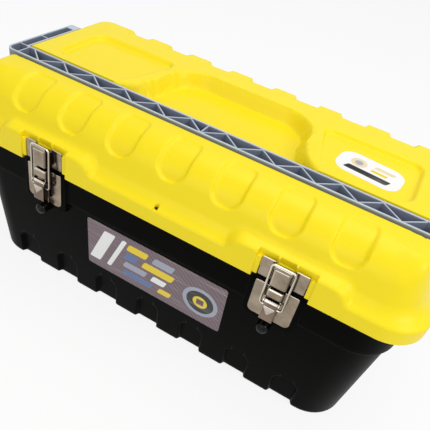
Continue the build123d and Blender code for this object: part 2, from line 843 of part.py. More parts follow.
    with BuildPart() as keeper_rivets:
        with BuildSketch(latch_front(sheet)):
            with Locations((latch_mid, keeper_rivet_z)):
                with GridLocations(2 * keeper_rivet_x, 0, 2, 1):
                    Circle(rivet_head)
        extrude(amount=rivet_head_rise)
        with BuildSketch(latch_front(sheet)):
            with Locations((latch_mid, keeper_rivet_z)):
                with GridLocations(2 * keeper_rivet_x, 0, 2, 1):
                    Circle(rivet_radius)
        extrude(amount=-(sheet + rivet_depth - rivet_fit))
    keeper_rivets.part.label = f"keeper_rivets_{side}"
    export_step(keeper_rivets.part, f"parts/keeper_rivets_{side}.step")

# Tray that hangs by its flange on the shelf of the tub
flange_low = shelf_z + tray_seat
flange_top = flange_low + tray_flange
flange_length = collar_length - 2 * (tub_wall + tray_gap)
flange_depth = collar_depth - 2 * (tub_wall + tray_gap)


def tray_body(low, inset):
    """Tapered body of the tray from low up to the flange, drawn in by inset."""
    with BuildPart() as solid:
        for level in (low, flange_top):
            shrink = 2 * (tray_inset + inset + (flange_top - level) * tan(radians(tray_draft)))
            with BuildSketch(Plane.XY.offset(level)):
                RectangleRounded(flange_length - shrink, flange_depth - shrink, tray_corner - inset)
        loft(ruled=True)
    return solid.part


tray_outer = tray_body(tray_low, 0)
tray_inner = tray_body(tray_low + tray_wall, tray_wall)
divider_top = flange_top - tray_divider_drop
web_length = flange_length - 2 * tray_inset - 2 * tray_wall

with BuildPart() as lift_out_tray:
    add(tray_outer)
    with BuildSketch(Plane.XY.offset(flange_low)):
        RectangleRounded(flange_length, flange_depth, tub_corner - tray_gap)
    extrude(amount=tray_flange)
    add(tray_inner, mode=Mode.SUBTRACT)
    with BuildSketch(Plane.XZ) as web:
        with Locations((0, tray_low)):
            Rectangle(
                web_length - 2 * (flange_top - tray_low) * tan(radians(tray_draft)),
                flange_low - tray_low,
                align=(Align.CENTER, Align.MIN),
            )
        with Locations((0, divider_top)):
            Rectangle(web_length, flange_low - divider_top, align=(Align.CENTER, Align.MIN))
        with Locations((0, (divider_top + tray_grip_top) / 2)):
            RectangleRounded(2 * tray_grip_half, tray_grip_top - divider_top, tray_grip_round)
        with Locations((0, tray_grip_top - tray_hole_height)):
            SlotOverall(tray_hole_length, tray_hole_height, mode=Mode.SUBTRACT)
    extrude(amount=tray_web / 2, both=True)
    with BuildSketch(Plane.YZ.offset(-tray_divider_x)):
        with Locations((0, tray_low)):
            Rectangle(
                flange_depth - 2 * tray_inset - 2 * (flange_top - tray_low) * tan(radians(tray_draft)),
                divider_top - tray_low,
                align=(Align.CENTER, Align.MIN),
            )
    extrude(amount=tray_wall)
    with BuildSketch(Plane.YZ.offset(tray_divider_x)):
        with Locations((0, tray_low)):
            Rectangle(
                flange_depth - 2 * tray_inset - 2 * (flange_top - tray_low) * tan(radians(tray_draft)),
                divider_top - tray_low,
                align=(Align.CENTER, Align.MIN),
            )
    extrude(amount=-tray_wall)
lift_out_tray.part.label = "lift_out_tray"
export_step(lift_out_tray.part, "parts/lift_out_tray.step")

# Labels
face_y = tub_depth / 2 + label_z * draft_rate
label_face = Plane(
    origin=(label_x, -face_y, label_z),
    x_dir=(1, 0, 0),
    z_dir=(0, -cos(radians(tub_draft)), -sin(radians(tub_draft))),
)
with BuildPart() as front_label:
    with BuildSketch(label_face):
        RectangleRounded(label_length, label_height, label_round)
    extrude(amount=label_thick)
front_label.part.label = "front_label"
export_step(front_label.part, "parts/front_label.step")

with BuildPart() as lid_label:
    with BuildSketch(Plane.XY.offset(rear_top - pocket_depth)):
        with Locations(Location((sticker_x, sticker_y, 0), (0, 0, sticker_turn))):
            RectangleRounded(sticker_length, sticker_height, sticker_round)
    extrude(amount=label_thick)
lid_label.part.label = "lid_label"
export_step(lid_label.part, "parts/lid_label.step")
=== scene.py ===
"""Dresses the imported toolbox: moulded shells, plated latches, printed labels, stage and camera."""
import logging
from dataclasses import dataclass, field
from enum import Enum
from math import cos, radians, sin, sqrt, tan
from typing import Callable, Sequence

import bmesh
import bpy
import numpy as np
from mathutils import Euler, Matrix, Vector


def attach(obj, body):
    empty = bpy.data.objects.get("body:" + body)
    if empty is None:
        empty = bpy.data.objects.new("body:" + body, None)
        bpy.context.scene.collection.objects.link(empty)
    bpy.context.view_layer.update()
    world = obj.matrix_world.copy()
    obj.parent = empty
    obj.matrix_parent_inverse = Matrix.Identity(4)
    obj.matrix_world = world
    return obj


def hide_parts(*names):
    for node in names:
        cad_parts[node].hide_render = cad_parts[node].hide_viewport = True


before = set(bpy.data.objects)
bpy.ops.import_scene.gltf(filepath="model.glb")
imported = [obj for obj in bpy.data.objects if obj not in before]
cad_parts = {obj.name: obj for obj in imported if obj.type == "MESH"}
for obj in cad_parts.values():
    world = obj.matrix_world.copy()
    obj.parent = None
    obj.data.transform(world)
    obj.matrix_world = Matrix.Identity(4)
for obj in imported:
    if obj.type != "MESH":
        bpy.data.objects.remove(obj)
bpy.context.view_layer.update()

LOG = logging.getLogger("toolbox")
MM = 0.001

Array = np.ndarray
Field = Callable[[Array, Array, Array], Array]
Pair = tuple[float, float]
Triple = tuple[float, float, float]
Quad = tuple[float, float, float, float]
Part = tuple[np.ndarray, list[np.ndarray]]
Material = bpy.types.Material
Socket = bpy.types.NodeSocket


# Sizes that several sub-assemblies share, in millimetres and degrees

LATCH_X = 141.3
BAY_PITCH = 61.5
BAY_LIMIT = 3
RIM_TOP = 194.5
TUB_DRAFT = 4.4


class Side(Enum):
    """The two ends of the box, with the sign of X there."""

    LEFT = -1
    RIGHT = 1

    @property
    def label(self) -> str:
        """The word for this side in the names of pieces and bodies."""
        return self.name.lower()


# Distances and blends, all in millimetres

def round_max(a: Array, b: Array, radius: float | Array) -> Array:
    """Common part of two solids with a round edge: the larger distance, bent into an arc near both faces.

    Args:
        a: Signed distance to the first solid, negative inside.
        b: Signed distance to the second solid.
        radius: Radius of the arc along the edge.

    Returns:
        Signed distance to the common part.
    """
    arc = np.hypot(np.maximum(a + radius, 0.0), np.maximum(b + radius, 0.0))
    return np.minimum(np.maximum(a, b), -radius) + arc


def round_min(a: Array, b: Array, radius: float | Array) -> Array:
    """Union of two solids with a round inner corner, the mirror image of round_max."""
    return -round_max(-a, -b, radius)


def soft_step(distance: Array, width: float | Array) -> Array:
    """One inside an outline, zero outside, with a cubic ramp of the given width across the edge."""
    share = np.clip(0.5 - distance / width, 0.0, 1.0)
    return share * share * (3.0 - 2.0 * share)


def box_outline(x: Array, y: Array, half_x: Array, half_y: Array, radius: Array) -> Array:
    """Signed distance to a rectangle with round corners, centred on the origin.

    Args:
        x: Places along the first side.
        y: Places along the second side.
        half_x: Half of the first side.
        half_y: Half of the second side.
        radius: Radius of the corners.

    Returns:
        The distance, negative inside.
    """
    over_x = np.abs(x) - half_x + radius
    over_y = np.abs(y) - half_y + radius
    outside = np.hypot(np.maximum(over_x, 0.0), np.maximum(over_y, 0.0))
    return outside + np.minimum(np.maximum(over_x, over_y), 0.0) - radius


def edge_round(height: Array, radius: float) -> Array:
    """How far a quarter-round edge draws a wall in at a height above that edge."""
    short = np.clip(radius - height, 0.0, radius)
    return radius - np.sqrt(radius * radius - short * short)


@dataclass
class Rays:
    """Straight lines that start inside a solid and leave it once.

    Attributes:
        start: Starting points, one row each.
        heading: Directions of unit length.
        reach: Length that surely ends outside the solid.
    """

    start: Array
    heading: Array
    reach: float

    def meet(self, solid: Field, level: float = 0.0, steps: int = 22) -> Array:
        """Finds where each line crosses a level of the field, by halving the span that holds the crossing.

        Args:
            solid: Signed distance field of the solid.
            level: Value of the field on the wanted surface.
            steps: Number of halvings.

        Returns:
            The crossing points, in the shape of the starting points.
        """
        near = np.zeros(self.start.shape[:-1])
        far = np.full(self.start.shape[:-1], self.reach)
        for _ in range(steps):
            middle = 0.5 * (near + far)
            place = self.start + middle[..., None] * self.heading
            inside = solid(place[..., 0], place[..., 1], place[..., 2]) < level
            near = np.where(inside, middle, near)
            far = np.where(inside, far, middle)
        return self.start + far[..., None] * self.heading


# Meshes

def strip_faces(rows: Array, closed: bool = True) -> Array:
    """Quads between neighbouring rows of vertex numbers.

    Args:
        rows: Vertex numbers, one row of the grid after another.
        closed: Whether the last column joins the first one.

    Returns:
        An array with four vertex numbers for each quad.
    """
    ahead = np.roll(rows, -1, axis=1)
    quads = np.stack([rows[:-1], ahead[:-1], ahead[1:], rows[1:]], axis=-1)
    return (quads if closed else quads[:, :-1]).reshape(-1, 4)


def new_piece(name: str, points: Array, faces: Sequence[Array], sharp: float = 40.0) -> bpy.types.Object:
    """Makes an object from points in millimetres and lists of faces.

    Args:
        name: Name of the piece.
        points: One row for each vertex.
        faces: Arrays of vertex numbers, each with faces of one size.
        sharp: Angle in degrees from which an edge is shaded as a crease.

    Returns:
        The new object, at the origin.
    """
    mesh = bpy.data.meshes.new(name)
    polygons = [face for group in faces for face in np.asarray(group).tolist()]
    mesh.from_pydata((points.reshape(-1, 3) * MM).tolist(), [], polygons)
    shape = bmesh.new()
    shape.from_mesh(mesh)
    bmesh.ops.recalc_face_normals(shape, faces=shape.faces)
    shape.to_mesh(mesh)
    shape.free()
    mesh.shade_smooth()
    mesh.set_sharp_from_angle(angle=radians(sharp))
    mesh.validate()
    piece = bpy.data.objects.new(name, mesh)
    bpy.context.scene.collection.objects.link(piece)
    return piece


def place_piece(piece: bpy.types.Object, body: str, finish: bpy.types.Material,
                nodes: Sequence[str] = ()) -> None:
    """Gives a piece its finish, the body it moves with and the nodes it stands for.

    Args:
        piece: The finished object.
        body: Name of the moving body.
        finish: Material of the piece.
        nodes: CAD nodes that the piece replaces.
    """
    piece.data.materials.clear()
    piece.data.materials.append(finish)
    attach(piece, body)
    if nodes:
        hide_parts(*nodes)
    LOG.info("%s rides on %s, %d faces", piece.name, body, len(piece.data.polygons))


def loop_path(half_x: float, half_y: float, radius: float, travel: Array) -> tuple[Array, Array]:
    """Points on a rectangle with round corners, and the outward directions there.

    The path runs anticlockwise from the middle of the front: straight stretches keep their side's normal,
    and on a corner the angle grows in step with the distance travelled.

    Args:
        half_x: Half of the side along X.
        half_y: Half of the side along Y.
        radius: Radius of the corners.
        travel: Distance travelled to each point.

    Returns:
        Points and unit normals, both in the plane.
    """
    run_x = half_x - radius
    run_y = half_y - radius
    arc = radius * np.pi / 2
    lengths = np.array([run_x, arc, 2 * run_y, arc, 2 * run_x, arc, 2 * run_y, arc, run_x])
    ends = np.concatenate([[0.0], np.cumsum(lengths)])
    stretch = np.clip(np.searchsorted(ends, travel, side="right") - 1, 0, len(lengths) - 1)
    along = travel - ends[stretch]
    turn = -np.pi / 2 + np.pi / 2 * (stretch // 2) + np.where(stretch % 2, along / radius, 0.0)
    normal = np.stack([np.cos(turn), np.sin(turn)], axis=-1)
    centre_x = np.array([0, run_x, run_x, run_x, run_x, -run_x, -run_x, -run_x, -run_x])[stretch]
    centre_y = np.array([-run_y, -run_y, -run_y, run_y, run_y, run_y, run_y, -run_y, -run_y])[stretch]
    tangent = np.stack([-normal[:, 1], normal[:, 0]], axis=-1)
    forward = np.where(stretch % 2, 0.0, along)[:, None] * tangent
    points = np.stack([centre_x, centre_y], axis=-1) + radius * normal + forward
    return points, normal


def capped_tube(grid: Array) -> Part:
    """Closed rings of points, one row each, as a tube with a cap at both ends.

    Args:
        grid: Points of the rings.

    Returns:
        Points, and the quads with the two caps.
    """
    rows = np.arange(grid[..., 0].size).reshape(grid.shape[:2])
    return grid.reshape(-1, 3), [strip_faces(rows), rows[-1:], rows[:1, ::-1]]


def turned(profile: Array, sides: int, centre: Sequence[float]) -> Part:
    """Turns a profile about an axis along Y: X and Z are the radius times the sine and cosine of the angle.

    Args:
        profile: Rows of radius and place along the axis, from one end to the other.
        sides: Number of points round the axis.
        centre: Point from which places along the axis are measured.

    Returns:
        Points, and the quads with the two end caps.
    """
    angle = np.linspace(0.0, 2 * np.pi, sides, endpoint=False)
    radius, along = profile[:, :1], profile[:, 1:]
    grid = np.stack([radius * np.sin(angle), along + 0.0 * angle, radius * np.cos(angle)], axis=-1)
    return capped_tube(grid + np.asarray(centre, dtype=float))


def bent_tube(path: Array, normal: Array, radius: float, sides: int = 16) -> Part:
    """Carries a circle along a flat path; the section stands square to the path's direction.

    Args:
        path: Points of the path.
        normal: Direction square to the plane of the path.
        radius: Radius of the tube.
        sides: Points round the tube.

    Returns:
        Points, and the quads with the two end caps.
    """
    tangent = np.gradient(path, axis=0)
    tangent /= np.linalg.norm(tangent, axis=1, keepdims=True)
    across = np.cross(normal, tangent)
    angle = np.linspace(0.0, 2 * np.pi, sides, endpoint=False)
    ring = np.cos(angle)[None, :, None] * across[:, None, :] + np.sin(angle)[None, :, None] * normal
    return capped_tube(path[:, None, :] + radius * ring)


def round_corners(corners: Array, radii: Sequence[float], steps: int = 7) -> Array:
    """Open path through corners, each replaced by an arc between its two tangent points.

    Args:
        corners: Corner points, the first and last being the ends.
        radii: Radius at each inner corner.
        steps: Points on each arc.

    Returns:
        The points of the rounded path.
    """
    parts = [corners[:1]]
    share = np.linspace(0.0, 1.0, steps)[:, None]
    for before, corner, after, radius in zip(corners[:-2], corners[1:-1], corners[2:], radii):
        into = (before - corner) / np.linalg.norm(before - corner)
        out = (after - corner) / np.linalg.norm(after - corner)
        half = 0.5 * np.arccos(np.clip(np.dot(into, out), -1.0, 1.0))
        middle = (into + out) / np.linalg.norm(into + out) * radius / np.sin(half)
        first = into * radius / np.tan(half) - middle
        last = out * radius / np.tan(half) - middle
        angle = np.arccos(np.clip(np.dot(first, last) / radius**2, -1.0, 1.0))
        arc = (np.sin((1 - share) * angle) * first + np.sin(share * angle) * last) / np.sin(angle)
        parts.append(corner + middle + arc)
    parts.append(corners[-1:])
    return np.concatenate(parts)


def closed_outline(corners: Sequence[Sequence[float]], radii: Sequence[float]) -> Array:
    """Closed path through corners, each replaced by an arc, starting in the middle of the last side.

    Args:
        corners: Corner points, anticlockwise.
        radii: Radius at each corner.

    Returns:
        Points of the path.
    """
    corners = np.asarray(corners, dtype=float)
    start = 0.5 * (corners[-1:] + corners[:1])
    return round_corners(np.concatenate([start, corners, start]), radii)[:-1]


def rectangle(across: Sequence[float], up: Sequence[float], low: float, high: float) -> Array:
    """Rectangle with round corners as an anticlockwise path.

    Args:
        across: First and last place across.
        up: First and last place upwards.
        low: Radius of the two lower corners.
        high: Radius of the two upper corners.

    Returns:
        Points of the path.
    """
    left, right = across
    bottom, top = up
    corners = ((left, bottom), (right, bottom), (right, top), (left, top))
    return closed_outline(corners, (low, low, high, high))


def disc(centre: Sequence[float], radius: float, sides: int = 28) -> Array:
    """Circle as an anticlockwise path."""
    angle = np.linspace(0.0, 2 * np.pi, sides, endpoint=False)
    return np.asarray(centre) + radius * np.stack([np.cos(angle), np.sin(angle)], axis=-1)


def rounded_plate(outline: Array, low: float, high: float, edge: float, steps: int = 5) -> Part:
    """Slab over a flat outline, which is drawn in along a quarter circle at both faces.

    Args:
        outline: Points of an anticlockwise path.
        low: Level of the lower face.
        high: Level of the upper face.
        edge: Radius of both edges.
        steps: Points on each quarter circle.

    Returns:
        Points whose third coordinate is the level, and the faces.
    """
    ahead = np.roll(outline, -1, axis=0) - np.roll(outline, 1, axis=0)
    tangent = ahead / np.linalg.norm(ahead, axis=1, keepdims=True)
    normal = np.stack([tangent[:, 1], -tangent[:, 0]], axis=-1)
    angle = np.linspace(0.0, np.pi / 2, steps)
    inset = edge * (1.0 - np.sin(angle))
    rise = edge * (1.0 - np.cos(angle))
    inset = np.concatenate([inset, inset[::-1]])
    level = np.concatenate([low + rise, high - rise[::-1]])
    points = np.zeros((len(level), len(outline), 3))
    points[..., :2] = outline - inset[:, None, None] * normal
    points[..., 2] = level[:, None]
    return capped_tube(points)


def bent_strip(path: Array, half: float, thickness: float, edge: float, steps: int = 4) -> Part:
    """Carries a rounded rectangle along a bent profile.

    Args:
        path: Points of the profile in the plane.
        half: Half of the width.
        thickness: Thickness of the strip.
        edge: Radius of the long edges.
        steps: Points on each rounded edge.

    Returns:
        Points whose third coordinate runs across the strip, and the faces.
    """
    tangent = np.gradient(path, axis=0)
    tangent /= np.linalg.norm(tangent, axis=1, keepdims=True)
    normal = np.stack([-tangent[:, 1], tangent[:, 0]], axis=-1)
    quarter = np.linspace(0.0, np.pi / 2, steps)
    angle = (quarter + np.pi / 2 * np.arange(4)[:, None]).ravel()
    side = np.repeat([1.0, -1.0, -1.0, 1.0], steps)
    face = np.repeat([1.0, 1.0, -1.0, -1.0], steps)
    across = side * (half - edge) + edge * np.cos(angle)
    through = face * (0.5 * thickness - edge) + edge * np.sin(angle)
    points = np.zeros((len(path), len(angle), 3))
    points[..., :2] = path[:, None, :] + through[None, :, None] * normal[:, None, :]
    points[..., 2] = across
    return capped_tube(points)


def join_parts(parts: Sequence[Part]) -> Part:
    """Puts several sets of points and faces into one, with the vertex numbers moved on.

    Args:
        parts: Points and faces of each part.

    Returns:
        All points and all faces.
    """
    starts = np.cumsum([0] + [len(points) for points, _ in parts])
    faces = [group + start for (_, groups), start in zip(parts, starts) for group in groups]
    return np.concatenate([points for points, _ in parts]), faces


def clear_of(lines: Array, others: Array, space: float) -> Array:
    """Those lines that stand further than a space from each of the others."""
    return lines[np.min(np.abs(lines[:, None] - others), axis=1) > space]


def even_spaces(lines: Array) -> Array:
    """Sorts lines and adds one in the widest space where the number of spaces is odd.

    Args:
        lines: Places of the lines.

    Returns:
        Places with an even number of spaces between them.
    """
    places = np.unique(lines)
    if len(places) % 2:
        return places
    widest = int(np.argmax(np.diff(places)))
    return np.insert(places, widest + 1, 0.5 * (places[widest] + places[widest + 1]))


# Finishes

MIX_INPUTS = (0, 6, 7)  # share, first and second colour of a mix node
MIX_RESULT = 2
PRINT_EDGE = 0.0003  # half width in metres of a printed edge
GRAIN_BUMP = 0.5
CREST_HIGHLIGHT_FADE = 1.6  # height in millimetres over which the painted highlight on the uppermost edges fades
# colour of the painted shade over the seal hole
HOLE_PAINTED_SHADE: Triple = (0.010, 0.008, 0.004)


@dataclass
class NodeSheet:
    """Short way to add nodes and links to one node tree."""

    tree: bpy.types.NodeTree

    def feed(self, value: object, socket: Socket) -> None:
        """Links an output to an input, or sets a number, a vector or a colour there.

        Args:
            value: Output socket, number or tuple.
            socket: The input.
        """
        if isinstance(value, bpy.types.NodeSocket):
            self.tree.links.new(value, socket)
        elif socket.type == "RGBA":
            socket.default_value = (*value, 1.0)
        else:
            socket.default_value = value

    def fill(self, node: bpy.types.Node, **inputs: object) -> None:
        """Feeds inputs of a node, named with underscores for spaces."""
        for key, value in inputs.items():
            self.feed(value, node.inputs[key.replace("_", " ")])

    def add(self, kind: str, **settings: object) -> bpy.types.Node:
        """Adds a node with its settings.

        Args:
            kind: Type of the node.
            **settings: Properties of the node, or else inputs, named with underscores for spaces.

        Returns:
            The new node.
        """
        node = self.tree.nodes.new(kind)
        for key, value in settings.items():
            if hasattr(node, key):
                setattr(node, key, value)
            else:
                self.fill(node, **{key: value})
        return node

    def operate(self, kind: str, operation: str, *values: object) -> bpy.types.Node:
        """Adds a node of one operation.

        Args:
            kind: Type of the node.
            operation: Name of the operation.
            *values: Sockets, numbers or vectors for its inputs, in order.

        Returns:
            The new node.
        """
        node = self.add(kind, operation=operation)
        for socket, value in zip(node.inputs, values):
            self.feed(value, socket)
        return node

    def math(self, operation: str, *values: object) -> Socket:
        """Result of an operation on numbers."""
        return self.operate("ShaderNodeMath", operation, *values).outputs[0]

    def vector(self, operation: str, *values: object) -> Socket:
        """Result of an operation on vectors."""
        return self.operate("ShaderNodeVectorMath", operation, *values).outputs["Vector"]

    def dot(self, first: object, second: object) -> Socket:
        """Dot product of two vectors."""
        return self.operate("ShaderNodeVectorMath", "DOT_PRODUCT", first, second).outputs["Value"]

    def length(self, x: Socket, y: Socket) -> Socket:
        """Length of a vector in the plane, the root of the sum of its squares."""
        squares = self.math("ADD", self.math("MULTIPLY", x, x), self.math("MULTIPLY", y, y))
        return self.math("SQRT", squares)

    def place(self, name: str = "Object") -> Socket:
        """Place in the object's own frame, or another of its coordinates."""
        return self.add("ShaderNodeTexCoord").outputs[name]

    def noise(self, place: Socket, **settings: object) -> Socket:
        """Value of a noise at a place."""
        return self.add("ShaderNodeTexNoise", Vector=place, **settings).outputs[0]

    def bump(self, height: Socket, strength: float, distance: float) -> Socket:
        """Normal of a surface raised by a height."""
        return self.add("ShaderNodeBump", Strength=strength, Distance=distance, Height=height).outputs[0]

    def ramp(self, value: Socket, limits: Sequence[float] = (0.0, 1.0),
             results: Sequence[float] = (0.0, 1.0), **settings: object) -> Socket:
        """Maps a value from its limits to results.

        Args:
            value: The value.
            limits: Values that give the first and the second result.
            results: The two results.
            **settings: Further properties of the node.

        Returns:
            The mapped value.
        """
        node = self.add("ShaderNodeMapRange", **settings)
        self.fill(node, Value=value, From_Min=limits[0], From_Max=limits[1],
                  To_Min=results[0], To_Max=results[1])
        return node.outputs[0]

    def mix(self, share: object, first: object, second: object) -> Socket:
        """Adds a colour mix whose inputs are sockets or colours.

        Args:
            share: Share of the second colour.
            first: Colour at share zero.
            second: Colour at share one.

        Returns:
            The mixed colour.
        """
        node = self.add("ShaderNodeMix", data_type="RGBA")
        for number, value in zip(MIX_INPUTS, (share, first, second)):
            self.feed(value, node.inputs[number])
        return node.outputs[MIX_RESULT]


def new_group(name: str, inputs: dict[str, float],
              outputs: Sequence[str]) -> tuple[NodeSheet, dict[str, Socket], bpy.types.Node]:
    """Starts a shader node group with number sockets.

    Args:
        name: Name of the group.
        inputs: Input names with their first values.
        outputs: Output names.

    Returns:
        The sheet, the sockets that bring the inputs and the node that takes the outputs.
    """
    tree = bpy.data.node_groups.new(name, "ShaderNodeTree")
    for key, value in inputs.items():
        tree.interface.new_socket(key, in_out="INPUT", socket_type="NodeSocketFloat").default_value = value
    for key in outputs:
        tree.interface.new_socket(key, in_out="OUTPUT", socket_type="NodeSocketFloat")
    sheet = NodeSheet(tree)
    source = sheet.add("NodeGroupInput")
    return sheet, {key: source.outputs[key] for key in inputs}, sheet.add("NodeGroupOutput")


def moulded_grain_group() -> bpy.types.NodeTree:
    """Fine grain of a moulded face with slow drifts of shade and gloss, in object coordinates.

    Returns:
        The group, which gives a height, a shade and a gloss.
    """
    inputs = {"Grain Size": 900.0, "Drift Size": 14.0}
    sheet, given, wanted = new_group("moulded_grain", inputs, ("Height", "Shade", "Gloss"))
    place = sheet.place()
    grain = sheet.noise(place, Scale=given["Grain Size"], Detail=3.0, Roughness=0.6)
    drift = sheet.noise(place, Scale=given["Drift Size"], Detail=4.0, Roughness=0.55)
    flow = sheet.noise(place, Scale=70.0, Detail=2.0)
    sheet.fill(wanted, Height=grain, Shade=drift, Gloss=sheet.math("MULTIPLY_ADD", flow, 0.5, 0.5))
    return sheet.tree


def scuff_group() -> bpy.types.NodeTree:
    """Thin rubbed streaks: noise stretched along one direction, kept only at its peaks.

    Returns:
        The group, which gives the streaks and the share that is rubbed.
    """
    inputs = {"Along X": 20.0, "Along Y": 300.0, "Along Z": 300.0, "Amount": 0.5}
    sheet, given, wanted = new_group("handling_scuffs", inputs, ("Streak", "Rub"))
    place = sheet.place()
    stretch = sheet.add("ShaderNodeCombineXYZ", **{key: given[f"Along {key}"] for key in "XYZ"})
    stretched = sheet.vector("MULTIPLY", place, stretch.outputs[0])
    streak = sheet.noise(stretched, Scale=1.0, Detail=3.0, Roughness=0.65)
    patch = sheet.noise(place, Scale=22.0, Detail=2.0)
    rubbed = sheet.math("MULTIPLY", sheet.ramp(streak, limits=(0.56, 0.74)), patch)
    sheet.fill(wanted, Streak=streak, Rub=sheet.math("MULTIPLY", rubbed, given["Amount"]))
    return sheet.tree


def patch_group() -> bpy.types.NodeTree:
    """Mask of a rectangle with round corners: distance to the rectangle, turned into a soft step.

    Returns:
        The group, which gives the mask.
    """
    inputs = {"X": 0.0, "Y": 0.0, "Centre X": 0.0, "Centre Y": 0.0, "Half X": 0.01, "Half Y": 0.01,
              "Radius": 0.002, "Lean": 0.0}
    sheet, given, wanted = new_group("printed_patch", inputs, ("Mask",))
    local_y = sheet.math("SUBTRACT", given["Y"], given["Centre Y"])
    lean = sheet.math("MULTIPLY", local_y, given["Lean"])
    local_x = sheet.math("SUBTRACT", sheet.math("SUBTRACT", given["X"], given["Centre X"]), lean)
    over = []
    for local, half in ((local_x, "Half X"), (local_y, "Half Y")):
        reach = sheet.math("SUBTRACT", given[half], given["Radius"])
        over.append(sheet.math("MAXIMUM", sheet.math("SUBTRACT", sheet.math("ABSOLUTE", local), reach), 0.0))
    distance = sheet.math("SUBTRACT", sheet.length(*over), given["Radius"])
    mask = sheet.ramp(distance, limits=(PRINT_EDGE, -PRINT_EDGE), interpolation_type="SMOOTHSTEP")
    sheet.fill(wanted, Mask=mask)
    return sheet.tree


@dataclass
class EffectGroups:
    """The node groups that several finishes share, each built once."""

    grain: bpy.types.NodeTree = field(default_factory=moulded_grain_group)
    scuffs: bpy.types.NodeTree = field(default_factory=scuff_group)
    patch: bpy.types.NodeTree = field(default_factory=patch_group)


def start_material(name: str) -> tuple[Material, NodeSheet, bpy.types.Node]:
    """Makes a material with a main shader.

    Args:
        name: Name of the material.

    Returns:
        The material, its sheet and its main shader.
    """
    finish = bpy.data.materials.new(name)
    finish.use_nodes = True
    sheet = NodeSheet(finish.node_tree)
    return finish, sheet, finish.node_tree.nodes["Principled BSDF"]


@dataclass(frozen=True)
class MouldedPlastic:
    """Finish of an injection-moulded part, with an optional painted highlight on its uppermost edges and
    optional painted shade over a small hole.

    Attributes:
        name: Name of the material.
        colour: Main colour.
        deep: Colour of the darker drifts.
        rubbed: Colour where hands and tools have rubbed it; the same colour also serves as the painted
            highlight on the uppermost edges.
        gloss: Lowest and highest roughness.
        grain: Height of the grain in metres.
        wear: Share of rubbed streaks.
        specular: Strength of the reflection.
        highlight_crest: Height of the uppermost edges, which take the rubbed colour as a painted highlight.
        hole: Place and radius of a small hole, darkened with painted shade for its unlit inside.
    """

    name: str
    colour: Triple
    deep: Triple
    rubbed: Triple
    gloss: Pair
    grain: float = 0.00008
    wear: float = 0.3
    specular: float = 0.5
    highlight_crest: float | None = None
    hole: Triple | None = None

    def crest_highlight_share(self, sheet: NodeSheet) -> Socket:
        """Share of the painted highlight on the uppermost edges, from the height in the object's frame."""
        height = sheet.add("ShaderNodeSeparateXYZ", Vector=sheet.place()).outputs["Z"]
        return sheet.ramp(height, limits=((self.highlight_crest - CREST_HIGHLIGHT_FADE) * MM, self.highlight_crest * MM))

    def hole_shade_share(self, sheet: NodeSheet) -> Socket:
        """Mask of the painted shade over the small hole, by the distance from its upright axis.

        Args:
            sheet: Sheet of the material.

        Returns:
            One inside the hole and zero elsewhere.
        """
        across, depth, radius = self.hole
        place = sheet.add("ShaderNodeSeparateXYZ", Vector=sheet.place()).outputs
        shift_x = sheet.math("SUBTRACT", place["X"], across * MM)
        shift_y = sheet.math("SUBTRACT", place["Y"], depth * MM)
        return sheet.math("LESS_THAN", sheet.length(shift_x, shift_y), radius * MM)

    def build(self, groups: EffectGroups) -> Material:
        """Builds the material from the grain and scuff groups.

        Args:
            groups: The shared effects.

        Returns:
            The finished material.
        """
        finish, sheet, shader = start_material(self.name)
        grain = sheet.add("ShaderNodeGroup", node_tree=groups.grain).outputs
        scuffs = sheet.add("ShaderNodeGroup", node_tree=groups.scuffs, Amount=self.wear).outputs
        surface_colour = sheet.mix(scuffs["Rub"], sheet.mix(grain["Shade"], self.deep, self.colour), self.rubbed)
        # painted highlight: the uppermost edges take the rubbed colour as if they caught more light
        if self.highlight_crest is not None:
            surface_colour = sheet.mix(self.crest_highlight_share(sheet), surface_colour, self.rubbed)
        # painted shade: the seal hole is darkened as if its inside were unlit
        if self.hole is not None:
            surface_colour = sheet.mix(self.hole_shade_share(sheet), surface_colour, HOLE_PAINTED_SHADE)
        rough = sheet.ramp(grain["Gloss"], results=self.gloss)
        normal = sheet.bump(grain["Height"], GRAIN_BUMP, self.grain)
        sheet.fill(shader, Base_Color=surface_colour, Roughness=rough, Normal=normal, Specular_IOR_Level=self.specular)
        return finish


